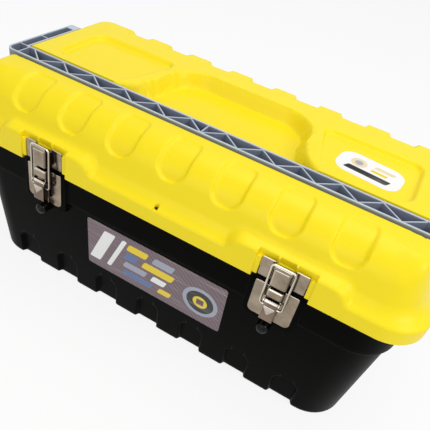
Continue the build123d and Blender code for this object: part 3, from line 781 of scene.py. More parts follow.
@dataclass(frozen=True)
class PlatedSteel:
    """Finish of nickel-plated sheet or wire, with fine rolling streaks and tarnish, and with painted shade
    and painted highlight set by the way each face looks in the object's frame.

    Attributes:
        name: Name of the material.
        colour: Colour of the clean plating.
        tarnish: Colour of the dull patches.
        painted_shade: Colour of the painted shade on faces that look away from lit_direction.
        bright: Colour of the painted highlight on faces and rounded edges that look along lit_direction.
        gloss: Lowest and highest roughness.
        lit_direction: Direction in the object's frame that the painted lit faces look in.
        rolling: Fineness of the streaks along X, Y and Z.
        drift: Fineness of the dull patches.
        dull_span: Shades between which the tarnish gives way to clean plating.
        shade_span: Values of the cosine towards lit_direction between which a face passes from painted shade
            to plating.
        highlight_span: Values of the cosine towards lit_direction between which a face passes into the
            painted highlight.
        streak_bump: Strength and height in metres of the streaks.
    """

    name: str
    colour: Triple
    tarnish: Triple
    painted_shade: Triple
    bright: Triple
    gloss: Pair
    lit_direction: Triple = (-0.45, -0.62, 0.64)
    rolling: Triple = (1500.0, 300.0, 60.0)
    drift: float = 60.0
    dull_span: Pair = (0.36, 0.64)
    shade_span: Pair = (-0.15, 0.58)
    highlight_span: Pair = (0.66, 0.94)
    streak_bump: Pair = (0.1, 0.00002)

    def build(self, groups: EffectGroups) -> Material:
        """Builds the material from the scuff and grain groups.

        Args:
            groups: The shared effects.

        Returns:
            The finished material.
        """
        finish, sheet, shader = start_material(self.name)
        rolling = {f"Along_{key}": value for key, value in zip("XYZ", self.rolling)}
        streak = sheet.add("ShaderNodeGroup", node_tree=groups.scuffs, **rolling).outputs["Streak"]
        shade = sheet.add("ShaderNodeGroup", node_tree=groups.grain, Drift_Size=self.drift).outputs["Shade"]
        # painted shade and painted highlight: faces turned away from lit_direction are darkened, faces
        # turned along it are lightened
        facing_light = sheet.dot(sheet.place("Normal"), self.lit_direction)
        plating = sheet.mix(sheet.ramp(shade, self.dull_span), self.tarnish, self.colour)
        shaded_plating = sheet.mix(sheet.ramp(facing_light, self.shade_span), self.painted_shade, plating)
        colour = sheet.mix(sheet.ramp(facing_light, self.highlight_span), shaded_plating, self.bright)
        rough = sheet.ramp(streak, results=self.gloss)
        normal = sheet.bump(streak, *self.streak_bump)
        sheet.fill(shader, Base_Color=colour, Roughness=rough, Normal=normal, Metallic=1.0)
        return finish


class Ink(Enum):
    """Colours of the printed labels."""

    MAUVE = (0.19, 0.135, 0.155)
    PLUM = (0.115, 0.078, 0.092)
    YELLOW = (0.83, 0.62, 0.02)
    WHITE = (0.86, 0.86, 0.86)
    STEEL = (0.36, 0.38, 0.46)
    BLUE = (0.10, 0.17, 0.36)
    BLACK = (0.012, 0.011, 0.012)
    CREAM = (0.78, 0.66, 0.42)


@dataclass(frozen=True)
class PrintPatch:
    """One printed shape: a rectangle with round corners that may lean, in millimetres on the label."""

    ink: Ink
    centre: Pair
    half: Pair
    radius: float
    lean: float = 0.0

    def inputs(self) -> dict[str, float]:
        """Inputs of the patch group for this shape.

        Returns:
            Sizes in metres and the lean, by the names of the inputs.
        """
        names = ("Centre_X", "Centre_Y", "Half_X", "Half_Y", "Radius")
        sizes = zip(names, (*self.centre, *self.half, self.radius))
        return {"Lean": self.lean, **{name: size * MM for name, size in sizes}}


@dataclass(frozen=True)
class PrintedFoil:
    """Finish of a printed self-adhesive label.

    Attributes:
        name: Name of the material.
        ground: Colour under the print.
        hatch: Colour of the faint slanted lines in the ground.
        centre: Middle of the label in the object's frame, in millimetres.
        across: Direction of the label's width in the object's frame.
        up: Direction of the label's height.
        patches: Printed shapes, from the lowest layer to the highest.
        specular: Strength of the reflection.
        hatch_rate: Angle in radians by which the lines' wave grows with each metre.
        hatch_power: Power that thins the lines.
        wear: Share of rubbed streaks.
        gloss: Lowest and highest roughness.
    """

    name: str
    ground: Ink
    hatch: Ink
    centre: Triple
    across: Triple
    up: Triple
    patches: tuple[PrintPatch, ...]
    specular: float = 0.5
    hatch_rate: float = 900.0
    hatch_power: float = 3.0
    wear: float = 0.35
    gloss: Pair = (0.32, 0.46)

    def coordinate(self, sheet: NodeSheet, direction: Triple) -> Socket:
        """Distance from the middle of the label along a direction, in metres."""
        shifted = sheet.vector("SUBTRACT", sheet.place(), tuple(value * MM for value in self.centre))
        return sheet.dot(shifted, direction)

    def build(self, groups: EffectGroups) -> Material:
        """Builds the print: a hatched ground, then each patch over the one before.

        Args:
            groups: The shared effects.

        Returns:
            The finished material.
        """
        finish, sheet, shader = start_material(self.name)
        x = self.coordinate(sheet, self.across)
        y = self.coordinate(sheet, self.up)
        wave = sheet.math("SINE", sheet.math("MULTIPLY", sheet.math("ADD", x, y), self.hatch_rate))
        line = sheet.math("POWER", sheet.math("MULTIPLY_ADD", wave, 0.5, 0.5), self.hatch_power)
        colour = sheet.mix(line, self.ground.value, self.hatch.value)
        for patch in self.patches:
            mask = sheet.add("ShaderNodeGroup", node_tree=groups.patch, X=x, Y=y, **patch.inputs())
            colour = sheet.mix(mask.outputs["Mask"], colour, patch.ink.value)
        scuffs = sheet.add("ShaderNodeGroup", node_tree=groups.scuffs, Amount=self.wear)
        surface_colour = sheet.mix(scuffs.outputs["Rub"], colour, Ink.WHITE.value)
        grain = sheet.add("ShaderNodeGroup", node_tree=groups.grain)
        rough = sheet.ramp(grain.outputs["Gloss"], results=self.gloss)
        sheet.fill(shader, Base_Color=surface_colour, Roughness=rough, Specular_IOR_Level=self.specular)
        return finish


# Sub-assemblies, in millimetres and degrees; a size of several values says beside it what they are

@dataclass
class LidForm:
    """Form of the lid: stepped rim, sloping sides with shoulder recesses, top with a hollow and pockets.

    The form is one filled solid, given by its signed distance at any place.
    """

    rim_half: Pair = (277.01, 137.81)  # along X and Y
    rim_corner: float = 42.0
    rim_low: float = 176.5
    rim_top: float = RIM_TOP
    rim_edge: float = 2.2
    rim_foot: float = 1.4
    ledge: Pair = (11.0, 6.5)  # run and rise
    crease_z: float = 201.0
    crease_corner: float = 38.0
    crease_blend: float = 5.0
    slope: float = 18.0
    front_top: float = 250.0
    rear_top: float = 254.0
    shoulder: Triple = (25.0, 11.0, 6.0)  # radius at the front, the rear and the ends
    shoulder_blend: float = 40.0
    recess_half: Pair = (16.0, 21.0)  # along X and up the shoulder
    recess_round: Pair = (14.0, 7.0)  # lower and upper corners
    recess_low_z: float = 223.0
    recess_depth: float = 4.5
    recess_ramp: Pair = (4.2, 4.0)  # width of the wall at the front and the rear
    recess_fade: float = 0.5  # share of the depth lost at the upper end, at the front
    recess_reach: float = 4.4  # further run over the shoulder, at the front
    channel: Pair = (-65.9, -41.1)  # front and rear wall
    channel_floor: float = 236.0
    channel_wall: float = 1.6
    step_inner: float = 246.21
    step_rear: float = 57.2
    hollow_rear_half: float = 50.0
    hollow_corner: Pair = (44.0, 20.0)  # radius, and Y of its centre
    hollow_flare: float = 73.8
    hollow_run: float = 9.0
    pocket: Triple = (219.0, -30.0, 57.0)  # outer end, front and rear
    pocket_inner: Pair = (120.0, 98.0)  # inner end at the front and the rear
    pocket_round: float = 16.0
    pocket_depth: float = 5.0
    pocket_wall: Pair = (1.75, 4.5)  # inset of its middle, and its width
    boss_half: float = 61.0
    boss_top: float = 208.5
    boss_round: float = 18.0
    boss_draft: float = 0.3
    boss_back: float = 25.0
    boss_blend: float = 3.0
    keeper_half: float = 29.5
    keeper_face: float = 134.2
    seat_z: float = 191.0
    slot_low: float = 203.0
    slot_face: float = 132.0
    slot_rib: Pair = (8.0, 10.0)  # inner and outer side
    notch_edge: float = 0.8
    seal_hole: float = 2.2  # radius

    def top_height(self, x: Array, y: Array) -> Array:
        """Height of the top: two levels, less the hollow, the pockets and the channel of the handle.

        Args:
            x: Places along the length.
            y: Places along the depth.

        Returns:
            Height of the moulded top.
        """
        along = np.abs(x)
        middle = 0.5 * sum(self.channel)
        height = np.where(y < middle, self.front_top, self.rear_top)
        corner, corner_y = self.hollow_corner
        flare_x = self.hollow_rear_half + corner + self.hollow_flare
        past_x = np.maximum(along - self.hollow_rear_half, 0.0)
        rear = np.hypot(past_x, np.maximum(y - corner_y, 0.0)) - corner
        flare = self.hollow_flare - np.hypot(np.minimum(along, flare_x) - flare_x, y - corner_y)
        hollow = np.where(y > corner_y, rear, flare)
        share = soft_step(hollow + 0.5 * self.hollow_run, self.hollow_run) * (y > middle)
        height = height - share * (self.rear_top - self.channel_floor)
        outer, front_y, rear_y = self.pocket
        lean = np.array([self.pocket_inner[0] - self.pocket_inner[1], front_y - rear_y])
        lean = lean / np.hypot(*lean)
        inner = (along - self.pocket_inner[1]) * lean[1] - (y - rear_y) * lean[0]
        sides = round_max(along - outer, inner, self.pocket_round)
        pocket = round_max(sides, np.maximum(y - rear_y, front_y - y), self.pocket_round)
        inset, width = self.pocket_wall
        height = height - soft_step(pocket + inset, width) * self.pocket_depth
        front_wall, rear_wall = self.channel
        bar = np.maximum(front_wall - y, y - rear_wall)
        arm = np.maximum(self.step_inner - along, np.maximum(front_wall - y, y - self.step_rear))
        cut = soft_step(np.minimum(bar, arm), self.channel_wall)
        return height + (self.channel_floor - height) * cut

    def recess(self, x: Array, y: Array, z: Array) -> Array:
        """Depth of the shoulder recesses: soft-edged boxes on planes that lean at 45 degrees.

        At the front a recess reaches further up the shoulder, and it grows shallower there.

        Args:
            x: Places along the length.
            y: Places along the depth.
            z: Heights.

        Returns:
            The depth, zero outside the recesses.
        """
        rise = self.recess_low_z - self.crease_z
        low_y = self.rim_half[1] - self.ledge[0] - rise * tan(radians(self.slope))
        half_x, half_climb = self.recess_half
        climb = ((low_y - np.abs(y)) + (z - self.recess_low_z)) / sqrt(2.0) - half_climb
        in_front = y < 0.0
        longer = np.where(in_front, 0.5 * self.recess_reach, 0.0)
        bay = np.clip(np.round(x / BAY_PITCH), -BAY_LIMIT, BAY_LIMIT)
        rounding = np.where(climb < 0.0, *self.recess_round)
        outline = box_outline(x - bay * BAY_PITCH, climb - longer, half_x, half_climb + longer, rounding)
        fade = np.where(in_front, self.recess_fade, 0.0) * np.clip(climb / half_climb, 0.0, 1.0)
        return self.recess_depth * (1.0 - fade) * soft_step(outline, np.where(in_front, *self.recess_ramp))

    def body(self, x: Array, y: Array, z: Array) -> Array:
        """Distance to the sloping upper body with its shoulders and recesses.

        Args:
            x: Places along the length.
            y: Places along the depth.
            z: Heights.

        Returns:
            Signed distance, negative inside.
        """
        drop = (z - self.crease_z) * tan(radians(self.slope))
        half_x = self.rim_half[0] - self.ledge[0] - drop
        half_y = self.rim_half[1] - self.ledge[0] - drop
        front, rear, end = self.shoulder
        corner = np.maximum(self.crease_corner - drop, end)
        side = cos(radians(self.slope)) * box_outline(x, y, half_x, half_y, corner)
        lead = soft_step((np.abs(x) - half_x) - (np.abs(y) - half_y), self.shoulder_blend)
        radius = end + lead * (np.where(y < 0.0, front, rear) - end)
        return round_max(side, z - self.top_height(x, y), radius) + self.recess(x, y, z)

    def solid(self, x: Array, y: Array, z: Array) -> Array:
        """Distance to the whole lid as a filled solid: body, ledge and rim, bosses, less the keeper notches.

        Args:
            x: Places along the length.
            y: Places along the depth.
            z: Heights.

        Returns:
            Signed distance, negative inside.
        """
        rim = box_outline(x, y, *self.rim_half, self.rim_corner)
        run, rise = self.ledge
        ledge = (rim + (z - self.rim_top) * run / rise) * rise / np.hypot(run, rise)
        ledge = np.maximum(ledge, z - self.crease_z - rise)
        upper = round_min(ledge, self.body(x, y, z), self.crease_blend)
        back = y + self.rim_half[1]
        latch = np.abs(x) - LATCH_X
        half = self.boss_half + self.boss_draft * back
        top = self.boss_top + self.boss_draft * back
        tall = top - self.rim_low
        arch = box_outline(latch, z - top + tall, half, tall, self.boss_round)
        upper = round_min(upper, np.maximum(arch, back - self.boss_back), self.boss_blend)
        shape = round_max(upper, rim + edge_round(z - self.rim_low, self.rim_foot), self.rim_edge)
        beside = np.abs(latch) - self.keeper_half
        inner, outer = self.slot_rib
        on_rib = (np.abs(latch) > inner) & (np.abs(latch) < outer)
        deep = np.where((z > self.slot_low) & ~on_rib, self.slot_face, self.keeper_face)
        shape = round_max(shape, -np.maximum(beside, y + deep), self.notch_edge)
        hole_y = self.rim_half[1] - 0.5 * run
        hole = np.maximum(np.hypot(x, y + hole_y) - self.seal_hole, self.rim_top - z)
        return np.maximum(shape, -hole)


@dataclass
class LidGrid:
    """Lines and rays that lay a mesh over the form of the lid.

    The middle is a grid over the top, met by upright rays; the rest is a band of rays that leave the grid's
    border and swing from upright to level, down to the lower edge of the rim.
    """

    form: LidForm
    grid_half: Triple = (225.0, -84.0, 86.0)  # half length, front and rear border
    grid_close: float = 30.0  # width of the border zone with fine lines
    grid_fine: float = 1.25  # step of those lines
    grid_rear: tuple[float, int] = (1.875, 20)  # step and number of the lines at the rear border
    grid_even: tuple[int, int, int] = (48, 6, 36)  # lines along X, and before and behind the channel's wall
    wall_lines: tuple[float, int] = (0.4, 7)  # margin and number of the lines across a recess wall
    bend_lines: tuple[float, float, int] = (1.0, 1.7, 6)  # two margins and number on a recess corner
    hole_lines: tuple[float, ...] = (0.75, 1.5, 2.0, 2.4, 3.0, 4.0)  # from the middle of the seal hole
    hole_zone: float = 6.0  # half width of the zone that these lines fill
    lip_lines: tuple[float, ...] = (-0.8, -0.4, 0.4, 0.8)  # about a wall of the channel
    lip_space: Pair = (1.5, 2.1)  # before and behind the channel's rear wall
    notch_pair: float = 0.2  # distance of the lines on both sides of a notch wall
    notch_line: float = 1.2  # distance of the line beside a notch, in widths of its edge
    line_space: Triple = (1.2, 1.4, 1.0)  # about recess walls, notch walls and the channel's front wall
    turn_zone: float = 32.0  # length of border over which the band turns a corner
    turn_power: float = 1.5
    foot_rows: tuple[float, ...] = (0.0, 0.25, 0.7, 1.4)  # above the lower edge of the rim
    face_rows: tuple[float, float, int] = (3.0, 3.2, 6)  # margins at the foot and the top, and number
    ledge_rows: Triple = (2.2, 0.6, 0.85)  # margins below the ledge and the slots, and step
    slot_rows: tuple[float, ...] = (-0.1, 0.1, 1.0, 2.0)  # from the lower end of the slots
    fan_rows: tuple[Triple, ...] = (  # first and last angle, and step
        (0.7, 12.0, 0.95), (12.6, 24.0, 3.2), (24.4, 40.0, 1.4), (41.0, 69.0, 2.5), (71.0, 89.0, 2.6))
    reach: Pair = (90.0, 130.0)  # of the upright rays and of the band
    touch: float = 1e-6  # tolerance of a point on the border

    def recess_lines(self) -> Array:
        """Grid lines at the corners and walls of the recesses.

        Returns:
            Places along X, of the middle bay and the bays on its right.
        """
        half, ramp = self.form.recess_half[0], self.form.recess_ramp[0]
        margin, count = self.wall_lines
        side = half + (0.5 * ramp + margin) * np.linspace(-1.0, 1.0, count)
        first, last, count = self.bend_lines
        bend = np.linspace(half - self.form.recess_round[0] + first, side[0] - last, count)
        offset = np.concatenate([bend, side])
        bays = BAY_PITCH * np.arange(BAY_LIMIT + 1)[:, None]
        return np.concatenate([bays - offset, bays + offset]).ravel()

    def lines(self) -> tuple[Array, Array]:
        """Grid lines over the top: even in the middle, close together near the border's corners and edges.

        Returns:
            Places of the lines along X and along Y.
        """
        half_x, front, rear = self.grid_half
        about_recess, about_notch, about_channel = self.line_space
        fine = np.arange(0.0, self.grid_close, self.grid_fine)
        last = half_x - self.grid_close
        recess = self.recess_lines()
        recess = recess[(recess > self.hole_zone) & (recess < last)]
        run = np.linspace(self.hole_zone, last, self.grid_even[0])
        run = np.concatenate([clear_of(run, recess, about_recess), recess])
        notch = np.array([self.form.keeper_half, *self.form.slot_rib])
        notch = np.concatenate([LATCH_X - notch, LATCH_X + notch])
        edge = (self.form.keeper_half + self.notch_line * self.form.notch_edge) * np.array([-1.0, 1.0])
        run = np.concatenate([clear_of(run, notch, about_notch), notch - self.notch_pair,
                              notch + self.notch_pair, LATCH_X + edge])
        hole = np.array(self.hole_lines)
        x = np.concatenate([fine - half_x, -run, -hole, [0.0], hole, run, half_x - fine])
        lip = np.array(self.lip_lines)
        front_wall, rear_wall = self.form.channel
        before = np.linspace(front + self.grid_close, rear_wall - self.lip_space[0], self.grid_even[1])
        behind = np.linspace(rear_wall + self.lip_space[1], rear - self.grid_close, self.grid_even[2])
        outer = clear_of(front + fine, np.array([front_wall]), about_channel)
        step, count = self.grid_rear
        y = np.concatenate([outer, front_wall + lip, before, rear_wall + lip, behind,
                            rear - step * np.arange(count)])
        return even_spaces(x), even_spaces(y)

    def band_plan(self, border: Array) -> Array:
        """Level directions of the band, which turn towards the diagonal near the corners.

        The turn is half a right angle times a power of the share of the corner zone that is passed.

        Args:
            border: Plan points along the border of the top grid, anticlockwise.

        Returns:
            A unit vector in the plane for each point.
        """
        half_x, front, rear = self.grid_half
        x, y = border.T
        passed_x = np.clip((np.abs(x) - (half_x - self.turn_zone)) / self.turn_zone, 0.0, 1.0)
        depth = np.where(y < 0.0, front - y, y - rear)
        passed_y = np.clip(1.0 + depth / self.turn_zone, 0.0, 1.0)
        on_long_side = depth > -self.touch
        diagonal = np.pi / 4
        near_end = diagonal * passed_x**self.turn_power
        near_side = np.pi / 2 - diagonal * passed_y**self.turn_power
        turn = np.where(on_long_side, near_end, near_side)
        return np.stack([np.sin(turn) * np.sign(x), np.cos(turn) * np.sign(y)], axis=-1)

    def band_rays(self, border: Array) -> Rays:
        """Rays of the band: level ones up the rim, then a fan that swings upright from the same border.

        Args:
            border: Plan points along the border of the top grid, anticlockwise.

        Returns:
            The rays, one row for each level or angle.
        """
        low_margin, high_margin, count = self.face_rows
        face = np.linspace(self.form.rim_low + low_margin, self.form.rim_top - high_margin, count)
        low_margin, high_margin, step = self.ledge_rows
        ledge = np.arange(self.form.rim_top - low_margin, self.form.slot_low - high_margin, step)
        foot = self.form.rim_low + np.array(self.foot_rows)
        level = np.concatenate([foot, face, ledge, self.form.slot_low + np.array(self.slot_rows)])
        fan = np.radians(np.concatenate([np.arange(*span) for span in self.fan_rows]))
        beside = np.abs(np.abs(border[:, 0]) - LATCH_X)
        at_keeper = (beside < self.form.keeper_half) & (border[:, 1] < self.grid_half[1] + self.touch)
        low = np.where(at_keeper, self.form.seat_z, self.form.rim_low)
        climb = (level - level[0]) / (level[-1] - level[0])
        angle = np.concatenate([np.zeros(len(level)), fan])
        start = np.zeros((len(angle), len(border), 3))
        start[..., :2] = border
        start[..., 2] = level[-1]
        start[:len(level), :, 2] = low + climb[:, None] * (level[-1] - low)
        heading = np.zeros_like(start)
        heading[..., :2] = np.cos(angle)[:, None, None] * self.band_plan(border)
        heading[..., 2] = np.sin(angle)[:, None]
        return Rays(start, heading, self.reach[1])

    def skin(self, x: Array, y: Array, every: int, level: float) -> tuple[Array, Array, Array]:
        """Points of one skin.

        Args:
            x: Grid lines along X.
            y: Grid lines along Y.
            every: Step between the lines that are used.
            level: Level of the field, zero outside and minus the wall inside.

        Returns:
            Points, the vertex numbers of the top grid, and those of the band's rows.
        """
        plan_x, plan_y = np.meshgrid(x[::every], y[::every], indexing="ij")
        start = np.stack([plan_x, plan_y, np.full_like(plan_x, self.form.slot_low)], axis=-1)
        upright = np.broadcast_to(np.array([0.0, 0.0, 1.0]), start.shape)
        top = Rays(start, upright, self.reach[0]).meet(self.form.solid, level)
        number = np.arange(plan_x.size).reshape(plan_x.shape)
        ring = np.concatenate([number[:-1, 0], number[-1, :-1], number[:0:-1, -1], number[0, :0:-1]])
        rays = self.band_rays(np.stack([plan_x.ravel()[ring], plan_y.ravel()[ring]], axis=-1))
        band = Rays(rays.start[::every], rays.heading[::every], rays.reach).meet(self.form.solid, level)
        rows = number.size + np.arange(band[..., 0].size).reshape(band.shape[:2])
        rows = np.concatenate([rows, ring[None, :]])
        return np.concatenate([top.reshape(-1, 3), band.reshape(-1, 3)]), number, rows


@dataclass
class LidShell:
    """The lid: two skins of one form, a wall apart, and the ribs that guide the keepers.

    The inner skin lies at the level of minus one wall, on every second line of the grid.
    """

    form: LidForm = field(default_factory=LidForm)
    wall: float = 2.6
    guide_across: Pair = (24.6, 30.4)  # inner and outer side
    guide_up: Pair = (181.0, 203.4)  # lower and upper end
    guide_out: Pair = (133.6, 136.4)  # inner and outer face
    guide_round: Triple = (0.9, 1.6, 0.6)  # lower and upper corners, edge

    def guides(self) -> list[Part]:
        """Upright ribs that guide the keeper's ears: rounded plates on both sides of each notch.

        Returns:
            The four ribs.
        """
        low_round, high_round, edge = self.guide_round
        outline = rectangle(self.guide_across, self.guide_up, low_round, high_round)
        points, faces = rounded_plate(outline, *self.guide_out, edge)
        right = np.stack([points[:, 0], -points[:, 2], points[:, 1]], axis=-1)
        left = right * np.array([-1.0, 1.0, 1.0])
        flipped = [group[:, ::-1] for group in faces]
        shifts = [np.array([side.value * LATCH_X, 0.0, 0.0]) for side in Side]
        ribs = ((right, faces), (left, flipped))
        return [(rib + shift, groups) for shift in shifts for rib, groups in ribs]

    def build(self, finish: Material) -> None:
        """Builds the shell with the ribs at its notches and dresses it.

        Faces of five corners join two spaces of the outer lower edge to one of the inner edge.

        Args:
            finish: The lid's plastic.
        """
        grid = LidGrid(self.form)
        x, y = grid.lines()
        outer, outer_grid, outer_rows = grid.skin(x, y, 1, 0.0)
        inner, inner_grid, inner_rows = grid.skin(x, y, 2, -self.wall)
        inner_grid, inner_rows = inner_grid + len(outer), inner_rows + len(outer)
        low, high = outer_rows[0], inner_rows[0]
        edge = np.stack([low[::2], high, np.roll(high, -1), np.roll(low, -2)[::2], low[1::2]], axis=-1)
        faces = [strip_faces(outer_grid.T, closed=False), strip_faces(outer_rows),
                 strip_faces(inner_grid.T, closed=False)[:, ::-1], strip_faces(inner_rows)[:, ::-1], edge]
        parts = [(np.concatenate([outer, inner]), faces), *self.guides()]
        piece = new_piece("lid_shell_moulded", *join_parts(parts))
        place_piece(piece, "lid", finish, ["lid_shell"])


@dataclass
class TubShell:
    """The tub: a drafted body with a stepped collar, bottom notches and raised latch pads.

    The outer skin is met by level rays that leave a rounded loop inside the wall, row by row from the bottom
    to the top; the inner skin follows one wall thickness inside, down to the floor.
    """

    half: Pair = (248.0, 119.0)  # along X and Y
    draft: float = TUB_DRAFT
    corner: float = 43.0
    wall: float = 3.0
    floor: float = 3.5
    bottom_edge: float = 2.6
    collar_low: float = 140.5
    collar_top: float = 191.0
    collar_half: Pair = (262.21, 133.21)  # along X and Y
    collar_corner: float = 46.4
    collar_edge: Pair = (1.3, 1.0)  # lower and upper
    collar_blend: float = 1.2
    notch_half: float = 14.0
    notch_height: float = 41.0
    notch_round: float = 9.0
    notch_depth: float = 5.0
    notch_ramp: float = 3.6
    foot_round: float = 3.5
    pad: Triple = (29.0, 125.5, 175.5)  # half width, lower and upper end
    pad_face: float = 135.01
    pad_round: float = 6.0
    pad_edge: float = 1.0
    pad_back: float = 20.0
    loop_inset: float = 32.0
    reach: float = 90.0

    edge_lines: tuple[float, int] = (0.8, 15)  # share of the ramp past an edge, and number at each edge
    even_lines: int = 101  # number along a long side
    line_space: float = 1.5  # least space between even and close lines
    bend_lines: int = 24  # number round a corner
    end_lines: int = 26  # number across an end

    def solid(self, x: Array, y: Array, z: Array) -> Array:
        """Distance to the tub as a filled solid.

        Args:
            x: Places along the length.
            y: Places along the depth.
            z: Heights.

        Returns:
            Signed distance, negative inside.
        """
        spread = z * tan(radians(self.draft))
        side = box_outline(x, y, self.half[0] + spread, self.half[1] + spread, self.corner)
        side = side * cos(radians(self.draft)) + edge_round(z, self.bottom_edge)
        bay = np.clip(np.round(x / BAY_PITCH), -BAY_LIMIT, BAY_LIMIT)
        half = self.notch_half + edge_round(z, self.foot_round)
        notch = box_outline(x - bay * BAY_PITCH, z, half, self.notch_height, self.notch_round)
        long_side = np.abs(y) > self.half[1] - self.corner
        side = side + self.notch_depth * soft_step(notch, self.notch_ramp) * long_side
        low_edge, top_edge = self.collar_edge
        collar = box_outline(x, y, *self.collar_half, self.collar_corner)
        collar = collar + edge_round(self.collar_top - z, top_edge)
        shape = round_min(side, round_max(collar, self.collar_low - z, low_edge), self.collar_blend)
        half, low, high = self.pad
        middle = 0.5 * (low + high)
        face = box_outline(np.abs(x) - LATCH_X, z - middle, half, high - middle, self.pad_round)
        pad = round_max(face, -self.pad_face - y, self.pad_edge)
        return round_min(shape, np.maximum(pad, y + self.half[1] - self.pad_back), self.pad_edge)

    def columns(self) -> Array:
        """Distances along the loop: close together at the sides of the notches and pads, wider elsewhere.

        Returns:
            The distance travelled to each column, from the middle of the front.
        """
        run_x = self.half[0] - self.corner
        run_y = self.half[1] - self.corner
        arc = (self.corner - self.loop_inset) * np.pi / 2
        bays = BAY_PITCH * np.arange(-BAY_LIMIT, BAY_LIMIT + 1)
        past, count = self.edge_lines
        near_edge = np.linspace(-self.notch_round, past * self.notch_ramp, count)
        centres = np.concatenate([bays, [-LATCH_X, LATCH_X]])
        halves = np.concatenate([np.full(len(bays), self.notch_half), [self.pad[0]] * 2])
        offset = halves[:, None] + near_edge
        close = np.concatenate([centres[:, None] - offset, centres[:, None] + offset]).ravel()
        wide = clear_of(np.linspace(-run_x, run_x, self.even_lines)[1:-1], close, self.line_space)
        long_side = np.unique(np.round(np.concatenate([wide, close]), 1))
        bend = np.linspace(0.0, arc, self.bend_lines, endpoint=False)
        end = np.linspace(0.0, 2 * run_y, self.end_lines, endpoint=False)
        rear = np.concatenate([[0.0], (run_x - long_side)[::-1]])
        left = np.concatenate([[0.0], (run_x + long_side)[long_side < 0.0]])
        stretches = (long_side[long_side >= 0.0], bend, end, bend, rear, bend, end, bend, left)
        lengths = np.array([run_x, arc, 2 * run_y, arc, 2 * run_x, arc, 2 * run_y, arc])
        starts = np.concatenate([[0.0], np.cumsum(lengths)])
        return np.concatenate([stretch + start for stretch, start in zip(stretches, starts)])

    def outer_rows(self) -> Array:
        """Heights of the outer rows, close together at each edge.

        Returns:
            The heights, from the bottom to the top.
        """
        foot = np.array([0.0, 0.12, 0.5, 1.2, 2.6, 6.0, 12.0, 19.0, 26.0])
        notch_top = self.notch_height + np.linspace(-self.notch_round, 1.5, 12)
        side = np.linspace(50.0, 118.0, 9)
        pad_low = self.pad[1] + np.linspace(-1.6, 6.0, 7)
        step = self.collar_low + np.array([-2.0, -0.9, -0.2, 0.2, 0.6, 1.3])
        collar = np.linspace(146.0, 174.0, 6)
        pad_top = self.pad[2] + np.array([-0.6, 0.1, 0.9])
        brim = self.collar_top - np.array([11.0, 6.0, 1.0, 0.6, 0.2, 0.0])
        return np.concatenate([foot, notch_top, side, pad_low, step, collar, pad_top, brim])

    def inner_rows(self) -> Array:
        """Heights of the inner rows, close together at each edge.

        Returns:
            The heights, from the top to the floor.
        """
        brim = self.collar_top - np.array([0.0, 0.4, 11.0, 31.0])
        step = self.collar_low + self.wall + np.array([0.1, -0.1])
        side = np.array([120.0, 90.0, 60.0])
        notch_top = self.notch_height + np.array([5.0, 3.5, 2.0, 0.0, -3.0, -6.0, -11.0, -21.0])
        foot = self.floor + np.array([3.0, 1.0, 0.0])
        return np.concatenate([brim, step, side, notch_top, foot])

    def skin(self, heights: Array, level: float) -> Array:
        """Rows of points on one skin.

        Args:
            heights: Height of each row.
            level: Level of the field.

        Returns:
            Points, row by row.
        """
        inset = self.loop_inset
        travel = self.columns()
        loop, normal = loop_path(self.half[0] - inset, self.half[1] - inset, self.corner - inset, travel)
        start = np.zeros((len(heights), len(travel), 3))
        start[..., :2] = loop
        start[..., 2] = heights[:, None]
        heading = np.zeros_like(start)
        heading[..., :2] = normal
        return Rays(start, heading, self.reach).meet(self.solid, level)

    def build(self, finish: Material) -> None:
        """Builds the shell and dresses it.

        Args:
            finish: The tub's plastic.
        """
        rows = np.concatenate([self.skin(self.outer_rows(), 0.0), self.skin(self.inner_rows(), -self.wall)])
        piece = new_piece("base_tub_moulded", *capped_tube(rows))
        place_piece(piece, "base", finish, ["base_tub"])


